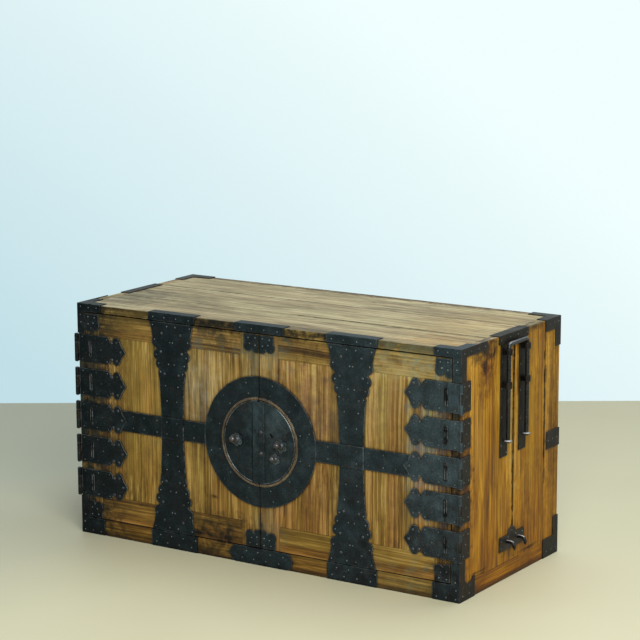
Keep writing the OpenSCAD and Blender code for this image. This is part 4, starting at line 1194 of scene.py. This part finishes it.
def front_nails():
    """The nails on the front of the carcass, above and below the doors."""
    spots = []
    for s in HANDS.values():
        for x, e in CORNER_NAILS:
            spots.append((s * (iron_x - x * MM), iron_top - e * MM))
            spots.append((s * (iron_x - x * MM), e * MM))
    for middle in (-band_x, 0, band_x):
        for x in EDGE_NAILS:
            spots.append((middle + x * MM, iron_top - EDGE_DROP * MM))
            spots.append((middle + x * MM, foot_top * FOOT_ROWS[0]))
            spots.append((middle + (x + EDGE_SHIFT) * MM, foot_top * FOOT_ROWS[1]))
    places = [(x, frame_iron_y, z) for x, z in spots]
    nails("front_nails", carcass, (0, -1, 0), NAIL, places, nail_iron)


for hand, s in HANDS.items():
    door_nails(hand, s)
    side_nails(hand, s)
front_nails()


# Camera

CAMERA_AZIMUTH = math.radians(32.963)
CAMERA_ELEVATION = math.radians(10.986)
CAMERA_ROLL = math.radians(-0.215)
CAMERA_PLACE = (2.826, -4.3365, 1.5435)
CAMERA_LENS = 126.44
CAMERA_SENSOR = 36


def camera():
    """The camera at the photograph's place, solved from the chest's corners."""
    data = bpy.data.cameras.new("camera")
    data.lens = CAMERA_LENS
    data.sensor_width = CAMERA_SENSOR
    made = bpy.data.objects.new("camera", data)
    bpy.context.collection.objects.link(made)
    a, e = CAMERA_AZIMUTH, CAMERA_ELEVATION
    back = Vector((math.sin(a) * math.cos(e), -math.cos(a) * math.cos(e), math.sin(e)))
    level = Vector((math.cos(a), math.sin(a), 0))
    right = level * math.cos(CAMERA_ROLL) + back.cross(level) * math.sin(CAMERA_ROLL)
    up = back.cross(right)
    axes = Matrix((right, up, back)).transposed().to_4x4()
    made.matrix_world = Matrix.Translation(CAMERA_PLACE) @ axes
    bpy.context.scene.camera = made


# Floor and light

# The floor lies square to the camera, and its far edge is the photograph's horizon
FLOOR_FAR, FLOOR_NEAR, FLOOR_ACROSS = 1.47, 4.0, 3.5
FLOOR_PALE = rgb(214, 210, 178)
FLOOR_GREY = rgb(206, 201, 168)
# Painted shade: the floor grows darker towards the left, away from the window light
FLOOR_LEFT_SHADE = rgb(184, 186, 164)
FLOOR_TURNS, FLOOR_TURNED = -0.2, -1.0

# The wall grows brighter across the view and upwards
WALL_DIM = rgb(193, 223, 231)
WALL_BRIGHT = rgb(241, 255, 255)
WALL_ACROSS, WALL_UP, WALL_START = 2.78, 3.65, -1.13
ROOM_LIGHT = (0.92, 0.97, 1.0, 1)
ROOM_STRENGTH = 0.31

# Place, target, size in metres, power in watts and colour
WINDOW = ((2.4, -2.6, 2.3), (0, 0, 0.3), 2.0, 132, (1.0, 0.98, 0.94))
SKY = ((0.5, 0.7, 3.0), (0, 0, 0.5), 2.0, 38, (0.9, 0.96, 1.0))


def floor():
    g = Graph("pale_floor")
    colour = g.mix(g.noise(g.place, 2.5), FLOOR_PALE, FLOOR_GREY)
    # Painted shade, darker towards the left
    shade_to_left = g.remap(g.axis(0), FLOOR_TURNS, FLOOR_TURNED)
    g.set("Base Color", g.mix(shade_to_left, colour, FLOOR_LEFT_SHADE))
    g.set("Roughness", 0.6)
    bm = bmesh.new()
    turn = Matrix.Rotation(CAMERA_AZIMUTH, 4, "Z")
    shift = Matrix.Translation((0, (FLOOR_FAR - FLOOR_NEAR) / 2, 0))
    size = Matrix.Diagonal((FLOOR_ACROSS, (FLOOR_FAR + FLOOR_NEAR) / 2, 1, 1))
    bmesh.ops.create_grid(bm, x_segments=1, y_segments=1, size=1, matrix=turn @ shift @ size)
    mesh = bpy.data.meshes.new("floor")
    bm.to_mesh(mesh)
    bm.free()
    mesh.materials.append(g.material)
    piece = bpy.data.objects.new("floor", mesh)
    bpy.context.collection.objects.link(piece)


def world():
    """A pale wall for the camera and for gloss, and a soft even light for everything else."""
    made = bpy.data.worlds.new("studio")
    bpy.context.scene.world = made
    made.use_nodes = True
    tree = made.node_tree
    tree.nodes.clear()
    slope = (WALL_ACROSS * math.cos(CAMERA_AZIMUTH), WALL_ACROSS * math.sin(CAMERA_AZIMUTH), WALL_UP)
    way = add_node(tree, "TexCoord").outputs["Generated"]
    across = add_node(tree, "VectorMath", {0: way, 1: slope}, operation="DOT_PRODUCT")
    ramp = {0: across.outputs["Value"], 1: WALL_START, 2: WALL_START + 1}
    share = add_node(tree, "MapRange", ramp).outputs[0]
    tint = add_node(tree, "Mix", {0: share, 6: WALL_DIM, 7: WALL_BRIGHT}, data_type="RGBA")
    wall = add_node(tree, "Background", {0: tint.outputs[2]}).outputs[0]
    light = add_node(tree, "Background", {0: ROOM_LIGHT, 1: ROOM_STRENGTH}).outputs[0]
    rays = add_node(tree, "LightPath").outputs
    seen = rays["Is Camera Ray"]
    for kind in ("Is Glossy Ray", "Is Transmission Ray"):
        seen = add_node(tree, "Math", {0: seen, 1: rays[kind]}, operation="MAXIMUM").outputs[0]
    both = add_node(tree, "MixShader", {0: seen, 1: light, 2: wall})
    add_node(tree, "OutputWorld", {0: both.outputs[0]})


def lamp(name, place, target, size, power, colour):
    """A square lamp that looks at the target."""
    data = bpy.data.lights.new(name, "AREA")
    data.shape = "SQUARE"
    data.size = size
    data.energy = power
    data.color = colour
    made = bpy.data.objects.new(name, data)
    bpy.context.collection.objects.link(made)
    made.location = place
    made.rotation_euler = (Vector(target) - Vector(place)).to_track_quat("-Z", "Y").to_euler()


floor()
world()
lamp("window", *WINDOW)
lamp("sky", *SKY)
camera()
bpy.context.scene.view_settings.view_transform = "Standard"
